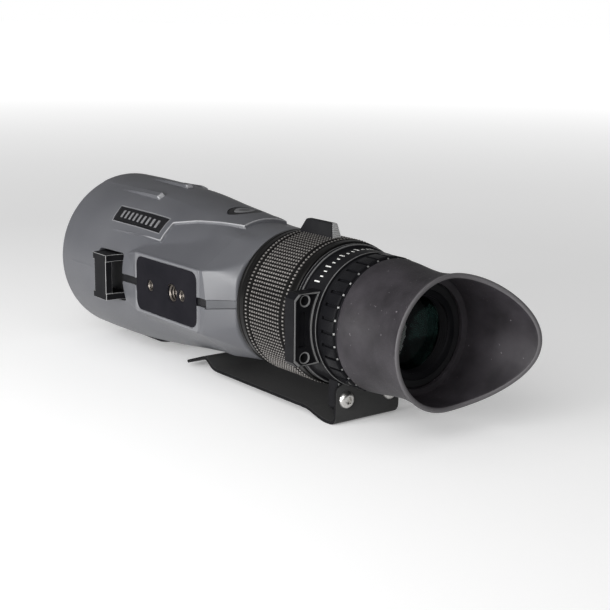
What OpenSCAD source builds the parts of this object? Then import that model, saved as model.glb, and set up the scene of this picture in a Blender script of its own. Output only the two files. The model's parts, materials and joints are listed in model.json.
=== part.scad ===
// Straight hand-held spotting scope: armoured tube, focus ring, eyepiece and belt clip.
// The optical axis lies along Y, +Y points at the target and +Z is up.
// Origin: centre of the objective rim. Millimetres.

/* [Body] */
// Length from the accessory collar's rear face to the objective rim
body_len = 161; // [156:1:168]
// Radius of the armour at the objective end
nose_r = 32.6; // [32:0.1:33.5]
// Radius of the armour beside the focus ring
waist_r = 24.4; // [24:0.1:25]
// Thickness of the rubber armour
armour_t = 2.8; // [2.4:0.1:3.2]
// Wall of the metal tube inside the armour
tube_wall = 2.2; // [1.8:0.1:2.4]

/* [Mounting plates] */
// Length of each mounting plate along the scope
plate_len = 42; // [40:1:44]
// Width of each mounting plate
plate_w = 20.5; // [19:0.5:22]
// Thickness of each mounting plate
plate_t = 3.2; // [2.8:0.1:3.6]
// Distance of the side plates' faces from the optical axis
side_face = 30.5; // [30:0.1:31.5]
// Distance of the bottom plate's face from the optical axis
bottom_face = 31; // [30.8:0.1:31.4]
// Depth of the tripod sockets
socket_depth = 6.2; // [5.6:0.1:6.4]
// Drop of the side plates and strap lugs below the optical axis
flank_drop = 0.8; // [0:0.1:1.5]

/* [Strap lugs] */
// Distance of the lugs' outer faces from the optical axis
lug_face = 36.5; // [36:0.1:37.5]
// Thickness of the bar that the strap loops round
bridge_t = 2.8; // [2.4:0.1:3.2]

/* [Focus] */
// Largest radius of the focus ring
focus_r = 25.4; // [25.2:0.1:25.6]
// Height of the focus fin's top above the optical axis
fin_top = 30; // [28:0.5:30.3]
// Turn of the focus ring each way from the middle, in degrees
focus_turn = 110; // [80:5:110]
// Travel of the focusing lens each way from the middle
focus_travel = 2; // [1:0.25:2]

/* [Eyepiece] */
// Radius of the accessory collar's smooth band
collar_r = 23.1; // [22.9:0.1:23.4]
// Spacing of the two screw holes in each accessory lug
lug_pitch = 19; // [18:0.5:20]
// Number of grip pads round the diopter ring
pad_count = 32; // [24:2:36]
// Turn of the diopter ring each way from the middle, in degrees
diopter_turn = 60; // [40:5:60]
// Travel of the eyepiece lenses each way from the middle
diopter_travel = 1.2; // [0.5:0.1:1.2]
// Clear radius of the eyepiece's rear opening
ocular_r = 12.7; // [12:0.1:13]

/* [Eyecup] */
// Y distance from the collar's rear face back to the eyecup's plain rim
cup_len = 38.5; // [37:0.5:40]
// Extra length of the eyecup's wing at its tip
wing_len = 15; // [12:0.5:15]

/* [Clip] */
// Thickness of the clip's steel sheet
clip_t = 1.2; // [1:0.1:1.4]
// Width of the clip's blade
blade_w = 29; // [26:1:30]
// Distance of the bend's lowest line from the optical axis
clip_low = 34.8; // [34.6:0.1:35.2]

/* [Hidden] */

$fn = 96;
tiny = 0.02;        // overshoot of a cut past a face
far = 80;           // longer than any cut needs
fit = 0.05;         // radial clearance of a running fit
gap = 0.3;          // free space between pieces that move past each other

// Stations along the axis, counted forward from the collar's rear face
ring_back = 11.5;
ring_front = 43;
armour_back = 43.4;
side_plate_y = 60;
bottom_plate_y = 116.4;
lug_back = 115.2;
lug_front = 125;
lug_root = [114, 129];
focus_pin_y = 38.5;
ocular_pin_y = -4.8;
housing_back = -24;

// Radii of the nested round pieces
neck_r = 20;                        // tube under the focus ring and collar
neck_bore = 18;
sleeve_r = 22.4;                    // outside of the focus cam sleeve
housing_r = 19.5;                   // eyepiece housing under the diopter ring
cup_seat_r = 19;                    // eyepiece housing under the eyecup
housing_bore = 17;
barrel_bore = 15;
lens_r = 25.6;                      // objective glass
bezel_r = 28.2;                     // bore of the objective rim
bezel_rim = 30.5;                   // outside of the objective rim, in front of its step
bezel_y = 157;                      // station of that step
bezel_back = 154.4;                 // rear face of the rim, on its sealing ring
focus_lens_r = 15;
tripod_r = 3.2;                     // 1/4 inch thread, at its outer diameter
stud_r = 2;                         // M4 thread, at its outer diameter
lug_hole_r = 1.5;                   // M3 thread, at its outer diameter
plate_holes = [10.2, 16.65, 32.3];  // stud, tripod socket, stud, from the plate's rear end
bottom_len = 23.4;                  // the plate underneath is shorter and thinner
bottom_t = 2.2;
bottom_depth = 5;                   // depth of its tripod socket
bottom_holes = [4.1, 11.7, 19.3];
boss_r = 5.5;                       // boss round a tripod socket
side_base = side_face - plate_t;    // seats of the plates on the tube
bottom_base = bottom_face - bottom_t;
focus_grubs = [0, 270];             // angles of the focus ring's grub screws
collar_grubs = [30, 330];           // angles of the collar's grub screws

// Armour outline: [station, radius]
armour_line = [[armour_back, waist_r], [57, waist_r + 0.2], [62, 25.3], [72, 27.0], [87, 28.3],
    [100, 30.0], [111, 31.0], [125, 32.0], [136, nose_r - 0.2], [148, nose_r], [158.6, nose_r],
    [160.3, nose_r - 0.7], [body_len, nose_r - 2]];
tube_r = 29.4;
tube_front = 153.2;
tube_line = [[47, 21.4], [60, 25.8 - armour_t], [72, 27.0 - armour_t], [87, 28.3 - armour_t],
    [100, 30.0 - armour_t], [111, 31.0 - armour_t], [125, 32.0 - armour_t], [140, tube_r], [tube_front, tube_r]];
tube_bore_r = tube_r - tube_wall;
lug_seat = 27.9;                    // flat on the tube under each strap lug
badge_base = 29.35;                 // floor of the badge recess, along its own normal

// Moves geometry drawn from the collar's rear face to the part's own frame
module from_collar() { translate([0, -body_len, 0]) children(); }

// Solid of revolution about the optical axis from [radius, station] points
module turned(points) { rotate([-90, 0, 0]) rotate_extrude() polygon(points); }

// Ring about the optical axis between two stations
module ring(y0, y1, r_in, r_out) { turned([[r_in, y0], [r_out, y0], [r_out, y1], [r_in, y1]]); }

// Solid disc about the optical axis between two stations
module disc(y0, y1, r) { translate([0, y0, 0]) rotate([-90, 0, 0]) cylinder(r = r, h = y1 - y0); }

// Outline drawn in Y and Z and given a width in X
module side_outline(points, width) {
    translate([-width / 2, 0, 0]) rotate([90, 0, 90]) linear_extrude(width) polygon(points);
}

// Outline drawn in X and Y and given a height in Z
module plan_outline(points, z0, z1) { translate([0, 0, z0]) linear_extrude(z1 - z0) polygon(points); }

// Block given by its low and high corners
module block(low, high) { translate(low) cube(high - low); }

// Radial rod at an angle round the axis, 90 being the top
module spoke(y, angle, r, r0, r1) {
    translate([0, y, 0]) rotate([0, 90 - angle, 0]) translate([0, 0, r0]) cylinder(r = r, h = r1 - r0, $fn = 32);
}

// Straight slot along the axis through the top of a tube
module straight_slot(y, travel, r, r0, r1) {
    for (s = [-1, 1]) spoke(y + s * travel, 90, r, r0, r1);
    block([-r, y - travel, r0], [r, y + travel, r1]);
}

// Helical slot made of overlapping radial cuts; the ring moves the pin by travel over turn
module helical_slot(y, turn, travel, r, r0, r1, step) {
    for (a = [-turn : step : turn]) spoke(y + travel * a / turn, 90 - a, r, r0, r1);
}

// Depth of a spherical face of the given radius at a distance x from its axis
function sag(x, radius) = sign(radius) * (abs(radius) - sqrt(radius * radius - x * x));

// Lens between two spherical faces, given by the stations of their middles; a negative radius is hollow
module lens(r, y_back, back_radius, y_front, front_radius) {
    steps = 6;
    xs = [for (i = [0 : steps]) r * i / steps];
    turned(concat([for (x = xs) [x, y_back + sag(x, back_radius)]],
        [for (x = reversed(xs)) [x, y_front - sag(x, front_radius)]]));
}

function radii(line) = [for (p = line) [p[1], p[0]]];
function reversed(list) = [for (i = [len(list) - 1 : -1 : 0]) list[i]];

// Everything that stands on a flank: x grows outward, y forward, mirrored for the right side
module on_left() { translate([0, 0, -flank_drop]) mirror([1, 0, 0]) children(); }
module on_right() { translate([0, 0, -flank_drop]) children(); }
// The bottom carries the same plate, turned down about the axis
module on_bottom() { rotate([0, 90, 0]) children(); }

// Rectangle with round corners, standing on the flank between two distances from the axis
module plate_blank(x0, x1, y0, length = plate_len) {
    corner = 3.5;
    half = plate_w / 2;
    translate([x0, 0, 0]) rotate([90, 0, 90]) linear_extrude(x1 - x0) union() {
        translate([y0 + corner, -half]) square([length - 2 * corner, plate_w]);
        translate([y0, corner - half]) square([length, plate_w - 2 * corner]);
        for (y = [y0 + corner, y0 + length - corner], z = [corner - half, half - corner])
            translate([y, z]) circle(r = corner);
    }
}

// Mounting plate with its face at x = face, its boss reaching inward
module plate(face, y0, length = plate_len, thick = plate_t, depth = socket_depth, holes = plate_holes) {
    difference() {
        union() {
            plate_blank(face - thick, face, y0, length);
            translate([face - depth - 0.8, y0 + holes[1], 0]) rotate([0, 90, 0])
                cylinder(r = boss_r, h = depth - 0.4);
        }
        plate_bores(face, y0, thick, depth, holes);
    }
}

// Bores and chamfers of a mounting plate
module plate_bores(face, y0, thick, depth, holes) {
    chamfer = 0.4;
    translate([face - depth, y0 + holes[1], 0]) rotate([0, 90, 0])
        cylinder(r = tripod_r, h = depth + 1);
    translate([face - chamfer, y0 + holes[1], 0]) rotate([0, 90, 0])
        cylinder(r1 = tripod_r, r2 = tripod_r + chamfer + tiny, h = chamfer + tiny);
    for (k = [0, 2]) {
        translate([face - thick - 1, y0 + holes[k], 0]) rotate([0, 90, 0]) cylinder(r = stud_r, h = thick + 2);
        translate([face - chamfer, y0 + holes[k], 0]) rotate([0, 90, 0])
            cylinder(r1 = stud_r, r2 = stud_r + chamfer + tiny, h = chamfer + tiny);
    }
}

// Flat seat on the tube for one mounting plate, its screw and boss clearances left to seat_cuts
module seat(base, y0, length, r_in) {
    block([r_in, y0 + 1, 1 - plate_w / 2], [base, y0 + length - 1, plate_w / 2 - 1]);
}

module seat_cuts(base, floor_x, y0, holes) {
    translate([floor_x, y0 + holes[1], 0]) rotate([0, 90, 0]) cylinder(r = boss_r, h = far);
    for (k = [0, 2]) translate([base - 3.4, y0 + holes[k], 0]) rotate([0, 90, 0])
        cylinder(r = stud_r + 0.2, h = far);
}

// Metal chassis tube
module main_tube() {
    bore = [[neck_bore, 0], [neck_bore, 48], [19.2, 52], [27.0 - armour_t - tube_wall, 72],
        [28.3 - armour_t - tube_wall, 87], [30.0 - armour_t - tube_wall, 100],
        [32.0 - armour_t - tube_wall, 125], [tube_bore_r, 137], [tube_bore_r, tube_front]];
    outside = concat(radii(reversed(tube_line)), [[21.4, 44], [neck_r, 44], [neck_r, 0]]);
    color("dimgray") from_collar() difference() {
        union() {
            turned(concat(bore, outside));
            intersection() {
                union() {
                    on_left() seat(side_base, side_plate_y, plate_len, 20);
                    on_right() seat(side_base, side_plate_y, plate_len, 20);
                    on_bottom() seat(bottom_base, bottom_plate_y, bottom_len, 24);
                }
                difference() {
                    disc(44, tube_front, 40);
                    turned(concat([[0, 44]], [for (p = bore) if (p[1] > 44) p + [0.5, 0]], [[0, tube_front]]));
                }
            }
        }
        on_left() seat_cuts(side_base, side_face - socket_depth - 0.8, side_plate_y, plate_holes);
        on_right() seat_cuts(side_base, side_face - socket_depth - 0.8, side_plate_y, plate_holes);
        on_bottom() seat_cuts(bottom_base, bottom_face - bottom_depth - 0.8, bottom_plate_y, bottom_holes);
        on_bottom() plate_blank(bottom_base, far, bottom_plate_y, bottom_len);
        for (side = [0, 1]) mirror([side, 0, 0])
            block([lug_seat, lug_root[0] - 0.5, -11 - flank_drop], [far, lug_root[1] + 0.5, 10.5 - flank_drop]);
        straight_slot(focus_pin_y, focus_travel, 1.3, neck_bore - 1, neck_r + 1);
    }
}

// Rubber armour over the tube, with raised flanks, a top saddle and three grip ribs
module armour_shell() {
    flank_plan = [[20, armour_back], [24.2, armour_back], [30.2, 57], [30.2, 104], [29.4, 112], [20, 112]];
    flank_section = [[18, -20], [24, -17], [30.2, -12.6], [30.2, 12.6], [24, 17], [18, 20]];
    color([0.42, 0.42, 0.44]) from_collar() difference() {
        union() {
            turned(concat(radii(armour_line), [[10, body_len], [10, armour_back]]));
            for (side = [0, 1]) mirror([side, 0, 0]) translate([0, 0, -flank_drop]) intersection() {
                plan_outline(flank_plan, -20, 20);
                translate([0, armour_back, 0]) rotate([-90, 0, 0]) linear_extrude(70) polygon(flank_section);
                turned([[0, armour_back], [waist_r + 1, armour_back], [33, 57.5], [36, 112], [0, 112]]);
            }
            saddle();
            for (a = [-24, 0, 24]) rotate([0, a, 0]) grip_rib();
        }
        turned(concat([[0, armour_back - 1]], [[waist_r - 2.2, armour_back - 1]], [[waist_r - 2.2, 44], [21.4, 44]],
            radii(tube_line), [[tube_r, bezel_y], [bezel_rim, bezel_y], [bezel_rim, body_len + 1], [0, body_len + 1]]));
        armour_openings();
    }
}

// Raised panel that wraps the top of the armour
module saddle() {
    rise = 0.7;
    half_plan = [[9.5, 60.5], [15.6, 82.5], [20, 92.3], [25.6, 92.7], [30, 128]];
    intersection() {
        difference() {
            turned([[20, 54], [24.7 + rise, 54], [25.2 + rise, 61], [27.0 + rise, 72], [28.3 + rise, 87], [30.0 + rise, 100],
                [31.0 + rise, 111], [32.0 + rise, 125], [32.1, 128], [20, 128]]);
            disc(armour_back, body_len, 20);
        }
        plan_outline(concat(half_plan, [for (p = reversed(half_plan)) [-p[0], p[1]]]), 15.8, 40);
    }
}

// Short raised rib on the top of the armour
module grip_rib() {
    side_outline([[112, 29], [112, 31.6], [113, 32.2], [136, 33.2], [139, 33], [141, 32.4], [141, 29]], 3.2);
}

// Openings through the armour for the plates, strap lugs, badges and inlays
module armour_openings() {
    for (side = [0, 1]) mirror([side, 0, 0]) translate([0, 0, -flank_drop]) {
        plate_blank(18, far, side_plate_y);
        block([18, lug_root[0] - 2, -12], [far, lug_root[1] + 2, 11]);
        for (outline = [front_inlay, rear_inlay, grip_strip]) trim_recess(outline);
    }
    on_bottom() plate_blank(18, far, bottom_plate_y, bottom_len);
    for (side = [0, 1]) mirror([side, 0, 0]) badge_box(badge_base, 40);
    difference() {
        oval_block();
        oval_floor();
    }
}

// Black trim along each flank, in X and Y: between plate and lug, behind the plate, beside the focus ring
front_inlay = [[28.9, 102], [29.9, 102], [30.7, 112], [28.9, 112]];
rear_inlay = [[26.5, 55], [28.9, 55], [29.9, 57.4], [29.9, 60], [26.5, 60]];
grip_strip = [[23.6, 44.5], [24.4, 44.5], [28.9, 55], [23.6, 55]];
trim_half = 1.4;                    // half the width of the trim

module trim(outline) { plan_outline(outline, -trim_half, trim_half); }

// Recess in the armour over one piece of trim, open outward
module trim_recess(outline) {
    block([outline[0][0], outline[0][1], -trim_half], [far, max([for (p = outline) p[1]]), trim_half]);
}

// Badge on the upper flank, leaning back with the body's taper, between two heights along its own normal
module badge_box(r0, r1) {
    around = 42.5;
    lean = 3.8;
    rotate([0, -around, 0]) translate([0, 96, 0]) rotate([0, 0, -lean]) translate([r0, 2, 0]) rotate([90, 0, 90])
        linear_extrude(r1 - r0) polygon([[0.3, -3.2], [32.2, -3.2], [33, 3.2], [0, 3.2]]);
}

// Upright block with the emblem's outline of two crossing arcs
module oval_block() {
    translate([0, 73.9, 20]) linear_extrude(far) intersection() {
        translate([0, -3]) circle(r = 7.8);
        translate([0, 3]) circle(r = 7.8);
    }
}

// Cone that the emblem's underside lies on
module oval_floor() { turned([[0, 54], [24.6, 54], [27.6, 88], [0, 88]]); }

module objective_cell() {
    color("gray") from_collar() difference() {
        disc(138, 153, tube_bore_r);
        disc(138 - 1, 141.2, lens_r - 2);
        disc(141.2 - tiny, 154, lens_r);
    }
}

// Cemented doublet: both elements share the face between them
module objective_front_lens() { color([0.5, 0.75, 0.7, 0.6]) from_collar() lens(lens_r, 143.9, 120, 152.9, 90); }
module objective_rear_lens() { color([0.5, 0.75, 0.7, 0.6]) from_collar() lens(lens_r, 140.5, 400, 143.9, -120); }

module objective_retaining_ring() {
    color("black") from_collar() difference() {
        ring(149.65, 151.6, lens_r - 1.4, lens_r);
        block([-1, 151, -far], [1, 152, far]);
    }
}

module objective_bezel() {
    color("black") from_collar()
        turned([[bezel_r, bezel_back], [tube_r, bezel_back], [tube_r, bezel_y], [bezel_rim, bezel_y],
            [bezel_rim, body_len - 0.4], [bezel_rim - 0.4, body_len], [bezel_r, body_len]]);
}

module objective_o_ring() { color("black") from_collar() ring(tube_front, bezel_back, bezel_r - 0.4, tube_r); }

module light_baffle() { color("black") from_collar() ring(112, 113, 20, 30.9 - armour_t - tube_wall); }

module left_mounting_plate() { color([0.12, 0.12, 0.13]) from_collar() on_left() plate(side_face, side_plate_y); }
module right_mounting_plate() { color([0.12, 0.12, 0.13]) from_collar() on_right() plate(side_face, side_plate_y); }
module bottom_mounting_plate() {
    color([0.12, 0.12, 0.13]) from_collar() on_bottom()
        plate(bottom_face, bottom_plate_y, bottom_len, bottom_t, bottom_depth, bottom_holes);
}

// Strap lug: two ears on a flat seat, joined by an outer bar
module strap_lug() {
    ear_t = 2.6;
    ear_top = 8.6;
    ear_low = -9.2;
    ear_plan = [[lug_seat, lug_root[0]], [lug_seat, lug_root[1]], [lug_face - 2.5, lug_front + 1.4],
        [lug_face, lug_front + 0.6], [lug_face, lug_back], [lug_seat + 4, lug_back]];
    plan_outline(ear_plan, ear_top - ear_t, ear_top);
    plan_outline(ear_plan, ear_low, ear_low + ear_t);
    block([lug_face - bridge_t, lug_back + 0.3, ear_low + 1], [lug_face, lug_front - 0.6, ear_top - 1]);
}

module left_strap_lug() { color([0.08, 0.08, 0.09]) from_collar() on_left() strap_lug(); }
module right_strap_lug() { color([0.08, 0.08, 0.09]) from_collar() on_right() strap_lug(); }

module side_badges() {
    color("black") from_collar() for (side = [0, 1]) mirror([side, 0, 0])
        badge_box(badge_base, badge_base + 0.8);
}

module top_oval_plate() {
    color("black") from_collar() intersection() {
        oval_block();
        difference() {
            turned([[0, 55], [25.9, 55], [29.0, 87], [0, 87]]);
            oval_floor();
        }
    }
}

module seam_inlays() {
    color("black") from_collar() for (side = [0, 1]) mirror([side, 0, 0]) translate([0, 0, -flank_drop]) {
        trim(front_inlay);
        trim(rear_inlay);
    }
}

module grip_strips() {
    color([0.35, 0.36, 0.37]) from_collar() for (side = [0, 1]) mirror([side, 0, 0])
        translate([0, 0, -flank_drop]) trim(grip_strip);
}

// Prism housing: a round block with a square channel
module prism_cage() {
    color("gray") from_collar() difference() {
        disc(7.2, 30.5, neck_bore);
        block([-11, 7, -11], [11, 31, 11]);
        for (a = [45, 135, 225, 315]) spoke_along(a, 25, 31);
    }
}

// Screw or screw hole parallel to the axis, outside the corner of the prism channel
module spoke_along(angle, y0, y1) {
    out = 16.7;
    translate([out * cos(angle), y0, out * sin(angle)]) rotate([-90, 0, 0]) cylinder(r = 0.8, h = y1 - y0, $fn = 32);
}

module pechan_half_prism() {
    color([0.7, 0.85, 0.9, 0.6]) from_collar() side_outline([[30, -11], [30, 11], [24.4, 11], [15.3, -11]], 22);
}

module roof_prism() {
    color([0.7, 0.85, 0.9, 0.6]) from_collar() intersection() {
        side_outline([[14.8, -11], [23.9, 11], [20.3, 11], [7.4, -1.9], [7.4, -11]], 22);
        translate([0, 14.4, 5.1]) rotate([45, 0, 0]) rotate([0, 45, 0]) translate([0, -far / 2, -far]) cube(far);
    }
}

module prism_retainer() {
    color("black") from_collar() difference() {
        ring(30.5, 31.6, 9.6, neck_bore);
        for (a = [45, 135, 225, 315]) spoke_along(a, 30, 32);
    }
}

module prism_screws() {
    color("silver") from_collar() for (a = [45, 135, 225, 315]) spoke_along(a, 25, 31.6);
}

module reticle_cell() {
    color("gray") from_collar() turned([[10.5, 3.5], [neck_bore, 3.5], [neck_bore, 7], [12, 7], [12, 4.2], [10.5, 4.2]]);
}
module reticle_glass() { color([0.8, 0.9, 0.9, 0.5]) from_collar() disc(4.2, 6.2, 12); }
module reticle_lock_ring() { color("black") from_collar() ring(6.2, 7, 10.5, 12); }

lug_half = 12.2;                    // half the width of an accessory lug
lug_out = 30.8;                     // outer face of an accessory lug
lug_y = [1.4, 6.2];                 // its rear and front faces
lug_hole_x = 26.1;                  // its holes' distance from the optical axis

// One accessory lug, drawn on the +X side
module accessory_lug() {
    chamfer = 1.7;
    translate([0, lug_y[0], 0]) rotate([-90, 0, 0]) linear_extrude(lug_y[1] - lug_y[0])
        polygon([[15, -lug_half], [lug_out - chamfer, -lug_half], [lug_out, chamfer - lug_half],
            [lug_out, lug_half - chamfer], [lug_out - chamfer, lug_half], [15, lug_half]]);
}

// Screw holes and shallow recess of one accessory lug
module accessory_lug_cuts(with_recess) {
    for (s = [-1, 1]) translate([lug_hole_x, 0, s * lug_pitch / 2]) rotate([-90, 0, 0]) cylinder(r = lug_hole_r, h = 8);
    if (with_recess) block([25.6, 0, -5.8], [28.8, lug_y[0] + 1.2, 5.8]);
}

module accessory_collar() {
    color([0.07, 0.07, 0.07]) from_collar() difference() {
        union() {
            turned([[neck_r, 0], [collar_r - 0.5, 0], [collar_r, 0.5], [collar_r, 8.8], [24.4, 9.4], [24.4, 10.2],
                [24, 10.4], [24, 10.6], [24.4, 10.8], [24.4, 11.2], [neck_r, 11.2]]);
            for (a = [0, 90, 180]) rotate([0, a, 0]) accessory_lug();
        }
        disc(-1, 12, neck_r);
        for (a = [0, 90, 180]) rotate([0, a, 0]) accessory_lug_cuts(a != 90);
        for (a = collar_grubs) spoke(7.6, a, 1, neck_r - 1, collar_r + 1);
    }
}

module collar_grub_screws() {
    color("black") from_collar() for (a = collar_grubs) difference() {
        spoke(7.6, a, 1, neck_r + 0.1, collar_r - 0.4);
        spoke(7.6, a, 0.5, collar_r - 1.2, collar_r);
    }
}

flange_y = lug_y[0] - clip_t;       // rear face of the clip's flange
bend_r = 3.4;                       // outer radius of the clip's bend
bend_y = flange_y + bend_r;
bend_z = -clip_low + bend_r;

// Upright flange of the clip with the quarter bend below it
module clip_flange() {
    half = 14;
    corner = 3;
    color([0.06, 0.06, 0.06]) from_collar() difference() {
        union() {
            intersection() {
                block([-half, flange_y, bend_z], [half, lug_y[0], -20.5]);
                union() {
                    block([-half, 0, bend_z], [half, 3, -20.5 - corner]);
                    block([corner - half, 0, bend_z], [half - corner, 3, -20.5]);
                    for (x = [corner - half, half - corner])
                        translate([x, 0, -20.5 - corner]) rotate([-90, 0, 0]) cylinder(r = corner, h = 3);
                }
            }
            translate([-half, bend_y, bend_z]) rotate([0, 90, 0]) intersection() {
                difference() {
                    cylinder(r = bend_r, h = 2 * half);
                    translate([0, 0, -1]) cylinder(r = bend_r - clip_t, h = 2 * half + 2);
                }
                translate([0, -bend_r, 0]) cube([bend_r, bend_r, 2 * half]);
            }
        }
        disc(-1, 2, collar_r);
        for (s = [-1, 1]) translate([s * lug_pitch / 2, -1, -lug_hole_x]) rotate([-90, 0, 0]) cylinder(r = 1.6, h = 3);
    }
}

// Two button-head screws with hexagon sockets
module clip_screws() {
    head_r = 3;
    head_h = 1.8;
    color("silver") from_collar() for (s = [-1, 1]) translate([s * lug_pitch / 2, flange_y, -lug_hole_x])
        difference() {
            union() {
                rotate([-90, 0, 0]) cylinder(r = lug_hole_r, h = 5.6);
                intersection() {
                    translate([0, 2.2, 0]) sphere(r = 4);
                    rotate([90, 0, 0]) cylinder(r = head_r, h = head_h);
                }
            }
            translate([0, -head_h - tiny, 0]) rotate([-90, 0, 0]) cylinder(r = 1.15, h = 1.2, $fn = 6);
        }
}

// Lower face of the blade over its low step, from the bend to its straight run
function step_z(y) = let (t = min(1, max(0, (y - 5) / 12))) -clip_low + 2.5 * t * t * (3 - 2 * t);

module clip_blade() {
    step = [for (i = [0 : 8]) [5 + 1.5 * i, step_z(5 + 1.5 * i)]];
    low = concat([[bend_y, -clip_low]], step, [[72.5, -32.3], [74.5, -31.9], [78.2, -29.6], [79.6, -29.2],
        [81, -29.4], [95.2, -34.3]]);
    up = [for (p = reversed(low)) p + [0, clip_t]];
    corner = 5;
    half = blade_w / 2;
    color([0.06, 0.06, 0.06]) from_collar() intersection() {
        side_outline(concat(low, up), blade_w);
        union() {
            block([-half, bend_y, -40], [half, 95.2 - corner, -20]);
            block([corner - half, bend_y, -40], [half - corner, 95.2, -20]);
            for (x = [corner - half, half - corner]) translate([x, 95.2 - corner, -40]) cylinder(r = corner, h = 20);
        }
    }
}

module eyepiece_housing() {
    color("black") from_collar() difference() {
        turned([[housing_bore, housing_back], [cup_seat_r, housing_back], [cup_seat_r, -9.7], [housing_r, -9.7],
            [housing_r, 0], [neck_bore, 0], [neck_bore, 3.4], [housing_bore, 3.4]]);
        ring(-18, -16.6, cup_seat_r - 0.8, cup_seat_r + 1);
        straight_slot(ocular_pin_y, diopter_travel, 0.9, housing_bore - 1, housing_r + 1);
    }
}

module housing_o_ring() { color("black") from_collar() ring(-18, -16.6, cup_seat_r - 0.8, cup_seat_r); }

// Outside of the focus ring: knurled bands between grooves
function focus_outline() = [[focus_r - 0.6, ring_back], [focus_r - 0.1, ring_back + 0.4], [focus_r - 0.1, 16],
    [focus_r - 0.8, 16.3], [focus_r - 0.8, 17.1], [focus_r, 17.4], [focus_r, 34.6], [focus_r - 0.9, 34.9],
    [focus_r - 0.9, 35.6], [focus_r - 0.4, 35.9], [focus_r - 0.4, 38.8], [focus_r - 0.7, 39],
    [focus_r - 0.7, 42.4], [focus_r - 1.3, ring_front]];

module focus_ring() {
    color([0.2, 0.2, 0.2]) from_collar() difference() {
        turned(concat(focus_outline(), [[sleeve_r, ring_front], [sleeve_r, ring_back]]));
        for (a = focus_grubs) spoke(14, a, 1, sleeve_r - 1, focus_r + 1);
    }
}

module focus_fin() {
    base = 22;
    color([0.15, 0.15, 0.15]) from_collar() difference() {
        intersection() {
            side_outline([[18, base], [18.2, 24.8], [19.6, fin_top], [33.4, fin_top], [36.4, 24.8], [36.6, base]], 12);
            translate([0, 10, 0]) rotate([90, 0, 180]) linear_extrude(40)
                polygon([[-2.1, base], [2.1, base], [2.1, 25.4], [1.2, fin_top], [-1.2, fin_top], [-2.1, 25.4]]);
        }
        turned(concat([[0, ring_back]], focus_outline(), [[0, ring_front]]));
    }
}

module focus_cam_sleeve() {
    color("goldenrod") from_collar() difference() {
        ring(ring_back, ring_front, neck_r + fit, sleeve_r);
        helical_slot(focus_pin_y, focus_turn, focus_travel, 1.8, neck_r - 1, sleeve_r + 1, 5);
        for (a = focus_grubs) spoke(14, a, 1, neck_r - 1, sleeve_r + 1);
    }
}

module focus_grub_screws() {
    color("black") from_collar() for (a = focus_grubs) difference() {
        spoke(14, a, 1, neck_r + 0.6, focus_r - 0.9);
        spoke(14, a, 0.5, focus_r - 1.8, focus_r);
    }
}

module focus_carriage() {
    color("gray") from_collar() difference() {
        ring(34.2, 45.8, focus_lens_r - 1.2, neck_bore - fit);
        disc(37.1, 46, focus_lens_r);
        ring(44.1, 45.2, neck_bore - 0.8, neck_bore + 1);
        spoke(focus_pin_y, 90, 1.2, 10, neck_bore + 1);
    }
}

module focus_lens() { color([0.5, 0.75, 0.7, 0.6]) from_collar() lens(focus_lens_r, 38.4, -90, 40.2, -60); }
module focus_lens_ring() { color("black") from_collar() ring(42.15, 43.8, focus_lens_r - 1.3, focus_lens_r); }
module focus_pin() { color("silver") from_collar() spoke(focus_pin_y, 90, 1.2, focus_lens_r, sleeve_r - 0.4); }
module focus_carriage_o_ring() { color("black") from_collar() ring(44.1, 45.2, neck_bore - 0.8, neck_bore - fit); }

// Diopter ring with raised grip pads between narrow grooves
module diopter_ring() {
    pad_r = 22.9;
    groove = 1.1;
    color([0.05, 0.05, 0.05]) from_collar() difference() {
        turned([[housing_r + fit, -9.4], [pad_r - 0.9, -9.4], [pad_r - 0.9, -8.6], [pad_r - 0.3, -8.4], [pad_r, -8],
            [pad_r, -2.6], [pad_r - 0.3, -2.3], [pad_r - 0.6, -2], [pad_r - 0.6, -gap], [housing_r + fit, -gap]]);
        for (k = [0 : pad_count - 1]) rotate([0, k * 360 / pad_count, 0])
            block([pad_r - 0.9, -8.6, -groove / 2], [pad_r + 1, -2.4, groove / 2]);
        helical_slot(ocular_pin_y, diopter_turn, diopter_travel, 1.3, housing_r - 1, 21.6, 4);
    }
}

module ocular_barrel() {
    color("gray") from_collar() difference() {
        ring(-24.7, 0.5, barrel_bore, housing_bore - fit);
        spoke(ocular_pin_y, 90, 0.75, 10, housing_bore + 1);
    }
}

// Eyepiece glass and the rings between it, front to back
module field_lens_ring() { color("black") from_collar() ring(-0.45, 0.5, 13.6, barrel_bore); }
module field_lens() { color([0.5, 0.75, 0.7, 0.6]) from_collar() lens(barrel_bore, -4, 60, 0, 200); }
module front_ocular_spacer() { color("black") from_collar() ring(-10.55, -2.45, 13.8, barrel_bore); }
module middle_lens() { color([0.5, 0.75, 0.7, 0.6]) from_collar() lens(barrel_bore, -14.4, 60, -9, 60); }
module rear_ocular_spacer() { color("black") from_collar() ring(-17.4, -12.85, 13.8, barrel_bore); }
module eye_lens() { color([0.5, 0.75, 0.7, 0.6]) from_collar() lens(barrel_bore, -20.4, 110, -15, 40); }
module ocular_retaining_ring() { color("black") from_collar() ring(-24.7, -19.75, ocular_r, barrel_bore); }
module ocular_pin() { color("silver") from_collar() spoke(ocular_pin_y, 90, 0.75, barrel_bore + 0.2, 21.3); }

module eyecup_sleeve() {
    color("black") from_collar() ring(-23.6, -9.9, cup_seat_r + fit, cup_seat_r + 1);
}

// Station of the eyecup's rim at a distance x to the wing side
function rim_y(x) = -cup_len - wing_len * pow(max(0, x) / 25.8, 2);

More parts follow.
